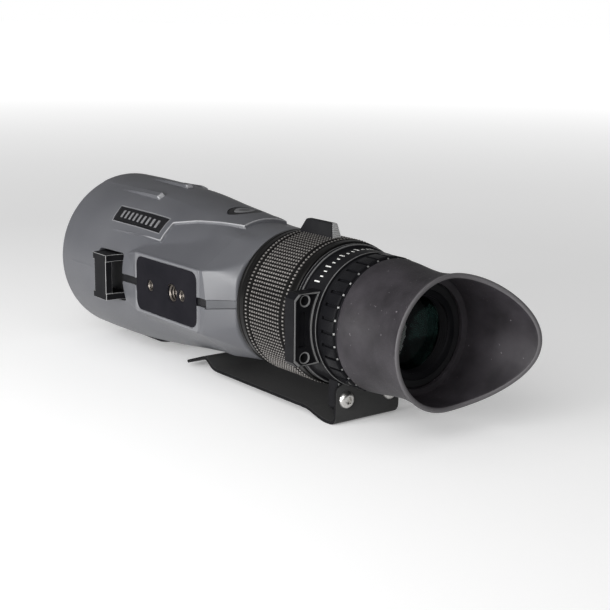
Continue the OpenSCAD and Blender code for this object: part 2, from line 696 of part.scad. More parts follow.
// Rubber eyecup: a round horn with a wing on the right
module eyecup() {
    edge = [for (x = [0 : 3 : 30]) [x, rim_y(x)]];
    color([0.3, 0.29, 0.3]) from_collar() difference() {
        turned([[cup_seat_r + 1, -9.7], [22.7, -9.7], [22.1, -15], [21.1, -25], [20.9, -28], [21.3, -33], [22, -38.5],
            [23.2, -44], [24.8, -49], [26.3, -54], [24.7, -54], [23.2, -49], [21.6, -44], [20.4, -38.5],
            [19.9, -33], [19.7, -25.9], [17.6, -25.9], [17.6, -24.3], [cup_seat_r + 1, -24.3]]);
        plan_outline(concat([[-40, -cup_len]], edge, [[40, rim_y(30)], [40, -90], [-40, -90]]), -40, 40);
    }
}

main_tube();
armour_shell();
objective_cell();
objective_front_lens();
objective_rear_lens();
objective_retaining_ring();
objective_bezel();
objective_o_ring();
light_baffle();
left_mounting_plate();
right_mounting_plate();
bottom_mounting_plate();
left_strap_lug();
right_strap_lug();
side_badges();
top_oval_plate();
seam_inlays();
grip_strips();
prism_cage();
pechan_half_prism();
roof_prism();
prism_retainer();
prism_screws();
reticle_cell();
reticle_glass();
reticle_lock_ring();
accessory_collar();
collar_grub_screws();
clip_flange();
clip_screws();
eyepiece_housing();
housing_o_ring();
focus_ring();
focus_fin();
focus_cam_sleeve();
focus_grub_screws();
focus_carriage();
focus_lens();
focus_lens_ring();
focus_pin();
focus_carriage_o_ring();
diopter_ring();
ocular_barrel();
field_lens_ring();
field_lens();
front_ocular_spacer();
middle_lens();
rear_ocular_spacer();
eye_lens();
ocular_retaining_ring();
ocular_pin();
eyecup_sleeve();
eyecup();
clip_blade();
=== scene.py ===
"""Looks of a straight hand-held spotting scope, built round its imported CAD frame.

Shapes are worked out in millimetres from the rear face of the accessory collar, as x to the right,
y forward and z up, and moved into the frame's metres by place().
"""

import json
import math

import bmesh
import bpy
import numpy as np
from mathutils import Matrix, Vector


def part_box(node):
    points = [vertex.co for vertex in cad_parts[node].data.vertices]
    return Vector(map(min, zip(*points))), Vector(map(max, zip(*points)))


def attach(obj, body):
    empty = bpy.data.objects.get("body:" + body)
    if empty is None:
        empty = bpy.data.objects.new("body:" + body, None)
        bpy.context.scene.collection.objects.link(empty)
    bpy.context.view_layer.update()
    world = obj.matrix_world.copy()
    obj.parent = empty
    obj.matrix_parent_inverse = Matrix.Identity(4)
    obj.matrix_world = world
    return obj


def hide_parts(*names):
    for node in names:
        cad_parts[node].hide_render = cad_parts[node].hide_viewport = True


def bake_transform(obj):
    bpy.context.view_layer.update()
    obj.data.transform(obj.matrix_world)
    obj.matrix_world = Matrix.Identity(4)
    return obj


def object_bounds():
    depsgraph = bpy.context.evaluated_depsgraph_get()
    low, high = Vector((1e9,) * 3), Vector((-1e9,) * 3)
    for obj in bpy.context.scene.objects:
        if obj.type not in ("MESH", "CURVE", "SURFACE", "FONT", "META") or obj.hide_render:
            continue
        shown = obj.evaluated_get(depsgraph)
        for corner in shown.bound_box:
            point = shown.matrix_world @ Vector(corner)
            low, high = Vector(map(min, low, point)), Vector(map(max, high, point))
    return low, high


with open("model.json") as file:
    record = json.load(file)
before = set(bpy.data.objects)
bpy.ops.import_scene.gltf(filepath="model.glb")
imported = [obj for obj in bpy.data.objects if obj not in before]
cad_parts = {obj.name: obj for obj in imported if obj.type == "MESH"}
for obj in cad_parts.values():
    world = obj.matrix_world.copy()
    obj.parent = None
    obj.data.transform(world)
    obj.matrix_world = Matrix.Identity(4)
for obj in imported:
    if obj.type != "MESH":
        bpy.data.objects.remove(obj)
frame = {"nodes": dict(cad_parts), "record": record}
cad_low, cad_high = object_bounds()

MM = 0.001
COLLAR_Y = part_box("main_tube")[0].y / MM
SLOT_OF = {s["node"]: s["material_slot"] for s in frame["record"]["subparts"]}
BODY_OF = {n: b for b, ns in frame["record"]["behaviour"]["bodies"].items() for n in ns}


def place(points):
    """Millimetres from the collar's rear face to metres in the frame."""
    return [(x * MM, (y + COLLAR_Y) * MM, z * MM) for x, y, z in points]


def collar_box(node):
    """Low and high corner of a CAD node in millimetres from the collar's rear face."""
    low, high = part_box(node)
    shift = Vector((0, COLLAR_Y, 0))
    return low / MM - shift, high / MM - shift


def smoothstep(low, high, value):
    t = np.clip((value - low) / (high - low), 0, 1)
    return t * t * (3 - 2 * t)


# ---------------------------------------------------------------- materials

ROUGH_SPREAD = 0.06
GRAIN_DEPTH = 0.00006


def node_of(tree, kind, **values):
    node = tree.nodes.new(kind)
    for key, value in values.items():
        setattr(node, key, value)
    return node


def noise(tree, scale, detail=3.0, stretch=None):
    """Noise texture in the object's own metres; stretch scales its axes."""
    coordinates = node_of(tree, "ShaderNodeTexCoord")
    texture = node_of(tree, "ShaderNodeTexNoise")
    texture.inputs["Scale"].default_value = scale
    texture.inputs["Detail"].default_value = detail
    texture.inputs["Roughness"].default_value = 0.55
    source = coordinates.outputs["Object"]
    if stretch:
        mapping = node_of(tree, "ShaderNodeMapping")
        mapping.inputs["Scale"].default_value = stretch
        tree.links.new(source, mapping.inputs["Vector"])
        source = mapping.outputs["Vector"]
    tree.links.new(source, texture.inputs["Vector"])
    return texture.outputs["Fac"]


def remap(tree, value, low, high, from_low=0.3, from_high=0.7):
    node = node_of(tree, "ShaderNodeMapRange")
    node.inputs["From Min"].default_value = from_low
    node.inputs["From Max"].default_value = from_high
    node.inputs["To Min"].default_value = low
    node.inputs["To Max"].default_value = high
    tree.links.new(value, node.inputs["Value"])
    return node.outputs["Result"]


def blend_colours(tree, factor, low, high):
    node = node_of(tree, "ShaderNodeMix", data_type="RGBA")
    tree.links.new(factor, node.inputs["Factor"])
    for socket, colour in ((6, low), (7, high)):
        if isinstance(colour, tuple):
            node.inputs[socket].default_value = (*colour, 1)
        else:
            tree.links.new(colour, node.inputs[socket])
    return node.outputs[2]


def finish(name, low, high, rough, metallic=0.0, patches=70, grain=2600, bump=0.12, specular=0.5,
           specks=None, stretch=None, wear_and_highlight=None):
    """Surface whose colour drifts in patches between low and high, with fine grain in roughness and relief.

    specks is a colour of sparse dust, stretch draws the grain out like tool marks, and worn is a lighter colour
    that the vertex attribute worn brings out: a painted highlight on the rims, lips and edges of most pieces,
    real wear together with a painted highlight on the knurl's tips, and a plain lighter colour on the fin's
    rear face and the badge bars."""
    material = bpy.data.materials.new(name)
    material.use_nodes = True
    tree = material.node_tree
    shader = tree.nodes["Principled BSDF"]
    shader.inputs["Metallic"].default_value = metallic
    shader.inputs["Specular IOR Level"].default_value = specular
    colour = blend_colours(tree, remap(tree, noise(tree, patches), 0, 1), low, high)
    fine = noise(tree, grain, stretch=stretch)
    if specks:
        dust = remap(tree, noise(tree, grain * 0.4, detail=1.0), 0, 1, 0.74, 0.78)
        colour = blend_colours(tree, dust, colour, specks)
    # Lighter colour where the attribute is high: painted highlight on rims and edges, bare worn metal with a
    # painted highlight on knurl tips.
    if wear_and_highlight:
        attribute = node_of(tree, "ShaderNodeAttribute", attribute_name="wear_and_highlight")
        colour = blend_colours(tree, remap(tree, attribute.outputs["Fac"], 0, 1, 0.5, 1), colour, wear_and_highlight)
    tree.links.new(colour, shader.inputs["Base Color"])
    tree.links.new(remap(tree, fine, rough - ROUGH_SPREAD, rough + ROUGH_SPREAD), shader.inputs["Roughness"])
    relief = node_of(tree, "ShaderNodeBump")
    relief.inputs["Strength"].default_value = bump
    relief.inputs["Distance"].default_value = GRAIN_DEPTH
    tree.links.new(fine, relief.inputs["Height"])
    tree.links.new(relief.outputs["Normal"], shader.inputs["Normal"])
    return material


def glass(name, tint):
    """Coated lens: clear glass under a faint coloured coat with a trace of dust."""
    material = bpy.data.materials.new(name)
    material.use_nodes = True
    tree = material.node_tree
    shader = tree.nodes["Principled BSDF"]
    shader.inputs["Transmission Weight"].default_value = 1.0
    shader.inputs["IOR"].default_value = 1.5
    shader.inputs["Coat Weight"].default_value = 0.3
    shader.inputs["Coat Tint"].default_value = (*tint, 1)
    colour = blend_colours(tree, remap(tree, noise(tree, 45), 0, 1), tint, tuple(c * 0.85 for c in tint))
    tree.links.new(colour, shader.inputs["Base Color"])
    tree.links.new(remap(tree, noise(tree, 900), 0, 0.02), shader.inputs["Roughness"])
    return material


FINISHES = {
    # armour_rubber's worn colour is a painted highlight on the lips, badge rims and rib ends.
    "armour_rubber": dict(low=(0.062, 0.0635, 0.071), high=(0.084, 0.0855, 0.093), rough=0.42, patches=26,
                          grain=3200, bump=0.14, wear_and_highlight=(0.36, 0.36, 0.37)),
    "chassis_aluminium": dict(low=(0.006, 0.006, 0.007), high=(0.011, 0.011, 0.012), rough=0.6,
                              specular=0.2),
    "plate_aluminium": dict(low=(0.007, 0.007, 0.009), high=(0.011, 0.0105, 0.013), rough=0.62, grain=5200,
                            bump=0.22, specular=0.02),
    # Lighter copy of the plate finish for its rounded edges: a painted highlight.
    "plate_aluminium_edge": dict(low=(0.03, 0.03, 0.03), high=(0.05, 0.05, 0.05), rough=0.5),
    "thread_aluminium": dict(low=(0.07, 0.06, 0.053), high=(0.17, 0.15, 0.13), rough=0.34, metallic=0.7),
    "lug_aluminium": dict(low=(0.005, 0.005, 0.006), high=(0.009, 0.009, 0.01), rough=0.4, grain=3600,
                          specular=0.04),
    # Lighter copy of the lug finish for its rounded edges: a painted highlight.
    "lug_aluminium_edge": dict(low=(0.14, 0.14, 0.14), high=(0.3, 0.3, 0.3), rough=0.4, grain=3600),
    # collar_aluminium's worn colour is a painted highlight on the collar's rims, lug borders and hole mouths.
    "collar_aluminium": dict(low=(0.005, 0.005, 0.006), high=(0.01, 0.01, 0.011), rough=0.32, grain=3000,
                             bump=0.08, specular=0.05, wear_and_highlight=(0.17, 0.17, 0.17)),
    # focus_aluminium's worn colour lights the knurl tips: bare worn metal with a painted highlight.
    "focus_aluminium": dict(low=(0.008, 0.0077, 0.0075), high=(0.014, 0.0135, 0.013), rough=0.34,
                            metallic=0.8, wear_and_highlight=(0.38, 0.36, 0.345)),
    "fin_plastic": dict(low=(0.008, 0.008, 0.009), high=(0.014, 0.014, 0.015), rough=0.48, specular=0.04,
                        wear_and_highlight=(0.36, 0.36, 0.36)),
    # Lighter finish for the diopter ring's rounded edges: a painted highlight.
    "groove_edge": dict(low=(0.02, 0.02, 0.02), high=(0.045, 0.045, 0.046), rough=0.36, grain=3000),
    "retainer_aluminium": dict(low=(0.004, 0.004, 0.005), high=(0.008, 0.008, 0.009), rough=0.4,
                               specular=0.05),
    # clip_steel's worn colour lightens the clip's broad faces; specks are dust.
    "clip_steel": dict(low=(0.006, 0.006, 0.006), high=(0.011, 0.011, 0.012), rough=0.42, patches=35,
                       grain=2400, bump=0.1, specular=0.015, wear_and_highlight=(0.05, 0.05, 0.05),
                       specks=(0.09, 0.09, 0.09)),
    "bright_steel": dict(low=(0.52, 0.51, 0.49), high=(0.68, 0.67, 0.65), rough=0.34, metallic=1.0,
                         patches=260, grain=4000, stretch=(1, 0.1, 1)),
    "black_steel": dict(low=(0.02, 0.02, 0.02), high=(0.04, 0.04, 0.04), rough=0.4, metallic=0.4),
    "cam_brass": dict(low=(0.55, 0.38, 0.14), high=(0.7, 0.52, 0.22), rough=0.32, metallic=1.0),
    "seal_rubber": dict(low=(0.006, 0.006, 0.006), high=(0.011, 0.011, 0.011), rough=0.5, specular=0.3),
    # eyecup_rubber's worn colour is a painted highlight on the rim bead; specks are dust.
    "eyecup_rubber": dict(low=(0.014, 0.0124, 0.0145), high=(0.034, 0.0305, 0.035), rough=0.5, patches=90,
                          grain=1900, bump=0.25, specular=0.22, wear_and_highlight=(0.12, 0.115, 0.12),
                          specks=(0.11, 0.1, 0.11)),
    "sleeve_plastic": dict(low=(0.01, 0.01, 0.01), high=(0.018, 0.018, 0.018), rough=0.5, specular=0.3),
    # badge_plastic's worn colour lightens the badge bars and the emblem's rings.
    "badge_plastic": dict(low=(0.005, 0.005, 0.006), high=(0.009, 0.009, 0.01), rough=0.34, specular=0.14,
                          bump=0.04, wear_and_highlight=(0.14, 0.14, 0.145)),
    "trim_rubber": dict(low=(0.006, 0.006, 0.007), high=(0.011, 0.011, 0.012), rough=0.5, specular=0.12),
    # Bright colour of the diopter grooves' rear ends: a painted glint.
    "painted_glint_metal": dict(low=(0.2, 0.2, 0.2), high=(0.4, 0.4, 0.39), rough=0.4, metallic=0.5),
    "mark_paint": dict(low=(0.55, 0.55, 0.53), high=(0.7, 0.7, 0.68), rough=0.5),
    "strip_rubber": dict(low=(0.06, 0.062, 0.067), high=(0.08, 0.082, 0.087), rough=0.55, bump=0.2,
                         specular=0.2),
}
MATERIALS = {name: finish(name, **values) for name, values in FINISHES.items()}
MATERIALS["coated_glass"] = glass("coated_glass", (0.2, 0.36, 0.33))
MATERIALS["prism_glass"] = glass("prism_glass", (0.45, 0.55, 0.56))

for node, cad in frame["nodes"].items():
    cad.data.materials.clear()
    cad.data.materials.append(MATERIALS[SLOT_OF[node]])


# ---------------------------------------------------------------- pieces

def piece(name, points, faces, body, slot, material=None, sharp=None, wear_and_highlight=None):
    """Mesh object from points in collar millimetres, riding a body; sharp is its crease angle in degrees and
    worn is how far each point takes its finish's lighter colour, mostly a painted highlight."""
    mesh = bpy.data.meshes.new(name)
    mesh.from_pydata(place(points), [], faces)
    mesh.validate()
    if wear_and_highlight is not None:
        attribute = mesh.attributes.new("wear_and_highlight", "FLOAT", "POINT")
        attribute.data.foreach_set("value", np.asarray(wear_and_highlight, np.float32))
    obj = bpy.data.objects.new(name, mesh)
    bpy.context.scene.collection.objects.link(obj)
    mesh.materials.append(MATERIALS[material or slot])
    if sharp is not None:
        crease(obj, sharp)
    if body:
        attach(obj, body)
    return obj


def crease(obj, angle):
    """Smooth shading, with edges sharper than angle kept."""
    mesh = obj.data
    mesh.polygons.foreach_set("use_smooth", [True] * len(mesh.polygons))
    mesh.set_sharp_from_angle(angle=math.radians(angle))


def apply(obj, modifier):
    with bpy.context.temp_override(object=obj, active_object=obj, selected_objects=[obj]):
        bpy.ops.object.modifier_apply(modifier=modifier.name)


def softened(node, width, edge=None):
    """Copy of a CAD node with its sharp edges rounded to width millimetres, shown in the node's place; edge
    names the material of the rounded strips, a lighter copy of the finish that paints a highlight on them."""
    mesh = frame["nodes"][node].data.copy()
    work = bmesh.new()
    work.from_mesh(mesh)
    bmesh.ops.remove_doubles(work, verts=work.verts, dist=1e-6)
    bmesh.ops.dissolve_limit(work, angle_limit=math.radians(0.8), verts=work.verts, edges=work.edges)
    work.to_mesh(mesh)
    work.free()
    obj = bpy.data.objects.new(node + "_soft", mesh)
    bpy.context.scene.collection.objects.link(obj)
    bevel = obj.modifiers.new("bevel", "BEVEL")
    bevel.width = width * MM
    bevel.segments = 2
    bevel.limit_method = "ANGLE"
    bevel.angle_limit = math.radians(30)
    # The rounded strips take a lighter material where one is listed: a painted highlight.
    edge = MATERIALS.get(edge or SLOT_OF[node] + "_edge")
    if edge:
        mesh.materials.append(edge)
        bevel.material = 1
    apply(obj, bevel)
    crease(obj, 15)
    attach(obj, BODY_OF[node])
    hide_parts(node)
    return obj


def grid_faces(rows, columns, closed_rows=False, offset=0):
    """Quads of a grid of points stored row by row, each row closed on itself."""
    faces = []
    for i in range(rows if closed_rows else rows - 1):
        for j in range(columns):
            a, b = i * columns, (i + 1) % rows * columns
            k = (j + 1) % columns
            faces.append((offset + a + j, offset + a + k, offset + b + k, offset + b + j))
    return faces


def block_faces(base):
    """Faces of a block whose eight points start at base, four at one end and four at the other."""
    faces = [(base, base + 1, base + 2, base + 3), (base + 7, base + 6, base + 5, base + 4)]
    return faces + [(base + i, base + 4 + i, base + 4 + (i + 1) % 4, base + (i + 1) % 4) for i in range(4)]


def revolve(profile, columns):
    """Points and faces of a closed ring from [radius, station] points."""
    turn = np.linspace(0, 2 * math.pi, columns, endpoint=False)
    points = [(r * math.cos(t), y, r * math.sin(t)) for r, y in profile for t in turn]
    return points, grid_faces(len(profile), columns, closed_rows=True)


def prism(outline, x0, x1, grow=0.0):
    """Prism over an outline in y and z from x0 to x1, its outer end larger by grow."""
    centre = np.mean(np.array(outline), axis=0)
    n = len(outline)
    points = []
    for x, extra in ((x0, 0.0), (x1, grow)):
        for y, z in outline:
            away = np.array((y, z)) - centre
            y1, z1 = centre + away * (1 + extra / np.abs(away).max())
            points.append((x, y1, z1))
    faces = [tuple(range(n - 1, -1, -1)), tuple(range(n, 2 * n))]
    faces += [(i, (i + 1) % n, n + (i + 1) % n, n + i) for i in range(n)]
    return points, faces


def rounded(y0, y1, z0, z1, corner):
    """Rectangle in y and z with round corners."""
    steps = 8
    points = []
    for cy, cz, start in ((y1 - corner, z1 - corner, 0), (y0 + corner, z1 - corner, 90),
                          (y0 + corner, z0 + corner, 180), (y1 - corner, z0 + corner, 270)):
        for k in range(steps + 1):
            a = math.radians(start + 90 * k / steps)
            points.append((cy + corner * math.cos(a), cz + corner * math.sin(a)))
    return points


# ---------------------------------------------------------------- armour

ARMOUR_LOW, ARMOUR_HIGH = collar_box("armour_shell")
PLATE_LOW, PLATE_HIGH = collar_box("right_mounting_plate")
BOTTOM_LOW, BOTTOM_HIGH = collar_box("bottom_mounting_plate")
LUG_LOW, LUG_HIGH = collar_box("right_strap_lug")
FLANK_Z = (PLATE_LOW.z + PLATE_HIGH.z) / 2
PLATE_EDGE = [(PLATE_LOW.y, PLATE_LOW.z), (PLATE_HIGH.y, PLATE_LOW.z), (PLATE_HIGH.y, PLATE_HIGH.z),
              (PLATE_LOW.y, PLATE_HIGH.z)]
REAR_Y = ARMOUR_LOW.y
RIM_Y = ARMOUR_HIGH.y

# Station and radius of the round body, and of its inner wall
BODY_LINE = ((43.4, 24.4), (57, 24.5), (62, 25.2), (72, 26.8), (87, 28.2), (100, 29.8), (111, 30.9),
             (125, 32.0), (136, 32.4), (148, 32.6), (161, 32.6))
INNER_LINE = ((43.4, 22.25), (44.2, 22.2), (45, 21.5), (47, 21.5), (60, 23.1), (87, 25.6), (100, 27.3),
              (125, 29.3), (140, 29.5), (156.9, 29.5), (157, 30.55), (161, 30.55))
# Flank pads: flat face at the rear edge and over the plates, its end in front, sloping faces, corner limit
PAD_REAR = 24.1
PAD_FACE = 30.2
PAD_END = ((43, 40), (103, 40), (104, 30.2), (112, 29.5), (120, 26))
PAD_SLOPE = ((43.4, 24.6), (57, 26.9), (101, 26.9), (106, 26.1), (112, 24.4), (128, 20))
PAD_CORNER = ((43.4, 25.3), (57, 32.6), (70, 45))
SLOPE_TILT = math.radians(54.6)
# Border of the raised saddle: station, and degrees from the top
SADDLE = ((60, -5), (60, 21.5), (82.5, 33.8), (92.3, 41.9), (92.9, 58.5), (128, 60.8), (150, 62), (150, -5))


# Grip ribs: degrees from the top towards the right, and the station of the rear end
RIBS = ((-24, 111.4), (0, 111.4), (24, 120.5))


def soft_max(a, b, width):
    return (a + b + np.sqrt((a - b) ** 2 + width ** 2)) / 2


def soft_min(a, b, width):
    return (a + b - np.sqrt((a - b) ** 2 + width ** 2)) / 2


def along(line, y):
    stations, values = zip(*line)
    return np.interp(y, stations, values)


def smoothed(line, y, width):
    """Line averaged over a width, so that its corners are round."""
    return sum(along(line, y + width * k / 8) for k in range(-8, 9)) / 17


def border_distance(border, u, v):
    """Signed distance of the points (u, v) to a closed border, positive inside."""
    nearest = np.full(np.shape(u), 1e9)
    inside = np.zeros(np.shape(u), bool)
    for (u0, v0), (u1, v1) in zip(border, border[1:] + border[:1]):
        du, dv = u1 - u0, v1 - v0
        t = np.clip(((u - u0) * du + (v - v0) * dv) / (du * du + dv * dv), 0, 1)
        nearest = np.minimum(nearest, np.hypot(u - u0 - t * du, v - v0 - t * dv))
        if dv:
            inside ^= ((v0 > v) != (v1 > v)) & (u < du * (v - v0) / dv + u0)
    return np.where(inside, nearest, -nearest)


def flank_pad(y, side, up, body):
    """Radius of the flank: a flat face between two slopes, running into the round body at its rear edge."""
    elevation = np.arctan2(up, side)
    height = 28 * np.tan(np.clip(elevation, -1, 1)) - FLANK_Z
    crease_y = 54.6 + 2.4 * np.minimum(np.abs(height) / 11, 1) ** 1.5
    face = PAD_REAR + (PAD_FACE - PAD_REAR) * np.clip((y - REAR_Y) / (crease_y - REAR_Y), 0, 1)
    flat = np.minimum(face, along(PAD_END, y)) / np.maximum(side, 0.05)
    slope = smoothed(PAD_SLOPE, y, 0.5)
    drop = FLANK_Z * math.sin(SLOPE_TILT)
    upper = (slope + drop) / np.maximum(np.cos(elevation - SLOPE_TILT), 0.3)
    lower = (slope - drop) / np.maximum(np.cos(elevation + SLOPE_TILT), 0.3)
    pad = soft_min(soft_min(flat, np.minimum(upper, lower), 0.2), along(PAD_CORNER, y), 0.5)
    return body + (pad - body) * (1 - smoothstep(SLOPE_TILT - 0.03, SLOPE_TILT + 0.25, np.abs(elevation)))


def inside_saddle(y, turn):
    """Distance inside the saddle's border."""
    from_top = np.abs(np.arctan2(np.cos(turn), np.sin(turn)))
    border = [(u, math.radians(v) * float(along(BODY_LINE, u))) for u, v in SADDLE]
    return border_distance(border, y, from_top * along(BODY_LINE, y))


def armour_radius(y, turn):
    """Outer radius of the armour at a station and an angle, 90 degrees being the top."""
    side, up = np.abs(np.cos(turn)), np.sin(turn)
    radius = smoothed(BODY_LINE, y, 5)
    radius = soft_max(radius, flank_pad(y, side, up, radius), 0.4)
    # Saddle over the top, with a rounded bead on its border, fading into the nose
    inner = inside_saddle(y, turn)
    rise = 0.72 + 0.35 * (1 - smoothstep(60, 74, y))
    step = rise * smoothstep(-0.25, 0.25, inner) + 0.14 * np.exp(-((inner - 0.35) / 0.3) ** 2)
    radius = radius + step * (1 - smoothstep(104, 131, y)) * (up > -0.2)
    # Grip ribs, tallest at their rear ends
    for angle, rear in RIBS:
        off = np.abs(turn - math.radians(90 - angle)) * radius
        height = 0.35 + 1.0 * (1 - smoothstep(113, 140, y))
        radius = radius + height * smoothstep(rear, rear + 1.1, y) * (1 - smoothstep(134, 141, y)) * (
            1 - smoothstep(1.15, 1.75, off))
    # Moulding line on each side of the nose
    off = (turn_from_side(turn) * radius) / 0.35
    radius = radius + 0.12 * np.exp(-off ** 2) * smoothstep(133, 137, y) * (1 - smoothstep(150, 153, y))
    # Round rear lip and rounded nose
    radius = radius - 0.9 * (1 - np.sqrt(1 - (1 - smoothstep(REAR_Y, REAR_Y + 0.9, y)) ** 2 + 1e-9))
    nose = np.clip((y - (RIM_Y - 2.2)) / 2.2, 0, 1)
    return np.minimum(radius - 1.9 * (1 - np.sqrt(1 - nose ** 2 + 1e-9)), 33.15)


def turn_from_side(turn):
    return np.arctan2(np.sin(turn), np.abs(np.cos(turn)))


def raise_lips(y, turn, radius):
    """Narrow raised lips of the armour round the side plates."""
    x, z = radius * np.abs(np.cos(turn)), radius * np.sin(turn)
    outside = -border_distance(PLATE_EDGE, y, z)
    return radius + 0.35 * (1 - smoothstep(1.0, 1.9, outside)) * (x > 24)


def paint_lip_highlights(mesh):
    """Marks the armour's narrow lips, the badge rims and the rib ends, where a highlight is painted, in the
    vertex attribute worn.
    """
    spots = np.empty(len(mesh.vertices) * 3, np.float32)
    mesh.vertices.foreach_get("co", spots)
    x, y, z = spots.reshape(-1, 3).T / MM
    y = y - COLLAR_Y
    turn = np.arctan2(z, x)
    skin = np.hypot(x, z) > armour_radius(y, turn) - 0.3
    saddle = 0.92 * np.exp(-((inside_saddle(y, turn) - 0.35) / 0.4) ** 2)
    saddle *= (1 - smoothstep(98, 112, y)) * (z > 0)
    outside = -border_distance(PLATE_EDGE, y, z)
    plate = 0.58 * (1 - smoothstep(0.9, 1.6, outside)) * (outside > -1) * (np.abs(x) > 24)
    from_side = turn_from_side(turn)
    rim = -border_distance(grown(BADGE, 0.25), y, (from_side - BADGE_TURN) * along(BODY_LINE, y))
    badge = 0.66 * (1 - smoothstep(0.3, 0.8, rim)) * (rim > -0.6)
    wear_and_highlight_share = np.maximum(np.maximum(saddle, plate), badge)
    for angle, rear in RIBS:
        off = np.abs(turn - math.radians(90 - angle)) * 31
        wear_and_highlight_share = np.maximum(wear_and_highlight_share, 0.8 * (1 - smoothstep(0.5, 1.1, np.abs(y - rear - 0.9))) * (off < 1.4))
    attribute = mesh.attributes.new("wear_and_highlight", "FLOAT", "POINT")
    attribute.data.foreach_set("value", (wear_and_highlight_share * skin).astype(np.float32))


def densify(corners):
    """Closed outline with extra points every millimetre or so along its edges."""
    points = []
    for (u0, v0), (u1, v1) in zip(corners, corners[1:] + corners[:1]):
        count = max(1, int(math.hypot(u1 - u0, v1 - v0)))
        points += [(u0 + (u1 - u0) * k / count, v0 + (v1 - v0) * k / count) for k in range(count)]
    return points


def skin_slab(outline, low, high, rings=8, edge=0.0):
    """Closed slab that follows the armour. The outline is in stations and arc from a middle turn, given as
    (outline points, middle turn); low and high are its faces' distances off the skin."""
    line, middle = outline
    line = np.array(line, float)
    centre = line.mean(axis=0)
    reach = np.abs(line - centre).max()
    layers = [(k / rings, low) for k in range(1, rings + 1)]
    layers += [(1.0, high - edge), (1 - edge / reach, high)] if edge else [(1.0, high)]
    layers += [(k / rings, high) for k in range(rings - 1, 0, -1)]
    points = []
    for scale, lift in [(0.0, low)] + layers + [(0.0, high)]:
        spots = centre + (line - centre) * scale if scale else centre[None]
        turn = middle + spots[:, 1] / along(BODY_LINE, spots[:, 0])
        radius = armour_radius(spots[:, 0], turn) + lift
        points += list(zip(radius * np.cos(turn), spots[:, 0], radius * np.sin(turn)))
    n = len(line)
    faces = [(0, 1 + (k + 1) % n, 1 + k) for k in range(n)]
    faces += grid_faces(len(layers), n, offset=1)
    last = len(points) - 1
    faces += [(last, last - n + k, last - n + (k + 1) % n) for k in range(n)]
    return points, faces


def mirrored(solid):
    points, faces = solid
    return [(-x, y, z) for x, y, z in points], [f[::-1] for f in faces]


def on_flank(corners):
    """Outline given in stations and heights, turned into stations and arc from the right-hand side."""
    return densify([(y, FLANK_Z + z) for y, z in corners]), 0.0


def almond(centre, half_length, half_width):
    """Two arcs that cross at both ends, drawn across the body as a closed outline."""
    steps = 24
    radius = (half_length ** 2 + half_width ** 2) / (2 * half_width)
    swing = math.asin(half_length / radius)
    points = []
    for sign in (1, -1):
        for k in range(steps):
            a = sign * (swing - 2 * swing * k / steps)
            bulge = radius * math.cos(a) - radius + half_width
            points.append((centre + sign * bulge, -radius * math.sin(a)))
    return points


BADGE_TURN = math.radians(42.5)
BADGE = densify([(96.3, -2.5), (128.2, -3.1), (129, 3.3), (96, 3.9)])
EMBLEM_Y = 73.9
OVAL = almond(EMBLEM_Y, 7.2, 4.8)
STRIP = [(43.0, -0.55), (54.9, -1.55), (54.9, 1.3), (43.0, 2.5)]


def armour():
    """Rubber shell: a finely divided outer skin over a plain inner one, with recesses for the inlaid pieces."""
    columns = 720
    turn = np.linspace(0, 2 * math.pi, columns, endpoint=False)
    stations = np.concatenate((np.linspace(REAR_Y, REAR_Y + 1.2, 6, endpoint=False),
                               np.linspace(REAR_Y + 1.2, RIM_Y - 2.4, 420, endpoint=False),
                               np.linspace(RIM_Y - 2.4, RIM_Y, 12)))
    y, t = np.meshgrid(stations, turn, indexing="ij")
    radius = raise_lips(y, t, armour_radius(y, t))
    outer = np.stack((radius * np.cos(t), y, radius * np.sin(t)), -1).reshape(-1, 3)
    line = np.array(INNER_LINE[::-1])
    inner = [(r * math.cos(a), s, r * math.sin(a)) for s, r in line for a in turn]
    points = [tuple(p) for p in outer] + inner
    faces = grid_faces(len(stations) + len(line), columns, closed_rows=True)
    shell = piece("armour", points, faces, None, "armour_rubber")
    plate = rounded(PLATE_LOW.y, PLATE_HIGH.y, PLATE_LOW.z, PLATE_HIGH.z, 3.5)
    mouth = rounded(PLATE_LOW.y - 0.25, PLATE_HIGH.y + 0.25, PLATE_LOW.z - 0.25, PLATE_HIGH.z + 0.25, 3.75)
    lug = rounded(LUG_LOW.y - 1.4, LUG_HIGH.y + 0.4, LUG_LOW.z - 0.4, LUG_HIGH.z + 0.4, 1.6)
    cutters = [prism(plate, 20, 30.4), prism(mouth, 30.3, 32, 1.5), prism(lug, 20, 36, 0.5)]
    for y0, y1, floor in ((101.5, 113, 28.9), (54.9, 60.5, 26.5)):
        seam = [(y0, FLANK_Z - 1.5), (y1, FLANK_Z - 1.5), (y1, FLANK_Z + 1.5), (y0, FLANK_Z + 1.5)]
        cutters.append(prism(seam, floor, 36, 0.3))
    cutters.append(skin_slab(on_flank(STRIP), -1.2, 4))
    cutters.append(skin_slab((grown(BADGE, 0.25), BADGE_TURN), -1.2, 4))
    for solid in cutters:
        cut(shell, *solid)
        cut(shell, *mirrored(solid))
    points, faces = prism(rounded(BOTTOM_LOW.y, BOTTOM_HIGH.y, BOTTOM_LOW.x, BOTTOM_HIGH.x, 3.5), 24, 36)
    cut(shell, [(z, y, -x) for x, y, z in points], faces)
    cut(shell, *skin_slab((grown(OVAL, 0.25), math.pi / 2), -1.2, 4))
    crease(shell, 30)
    # Painted highlight on the armour's lips, badge rims and rib ends.
    paint_lip_highlights(shell.data)
    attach(shell, "scope_body")
    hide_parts("armour_shell")


def grown(outline, width):
    """Outline moved outward by a width."""
    line = np.array(outline, float)
    away = line - line.mean(axis=0)
    return [tuple(p) for p in line + np.sign(away) * width]


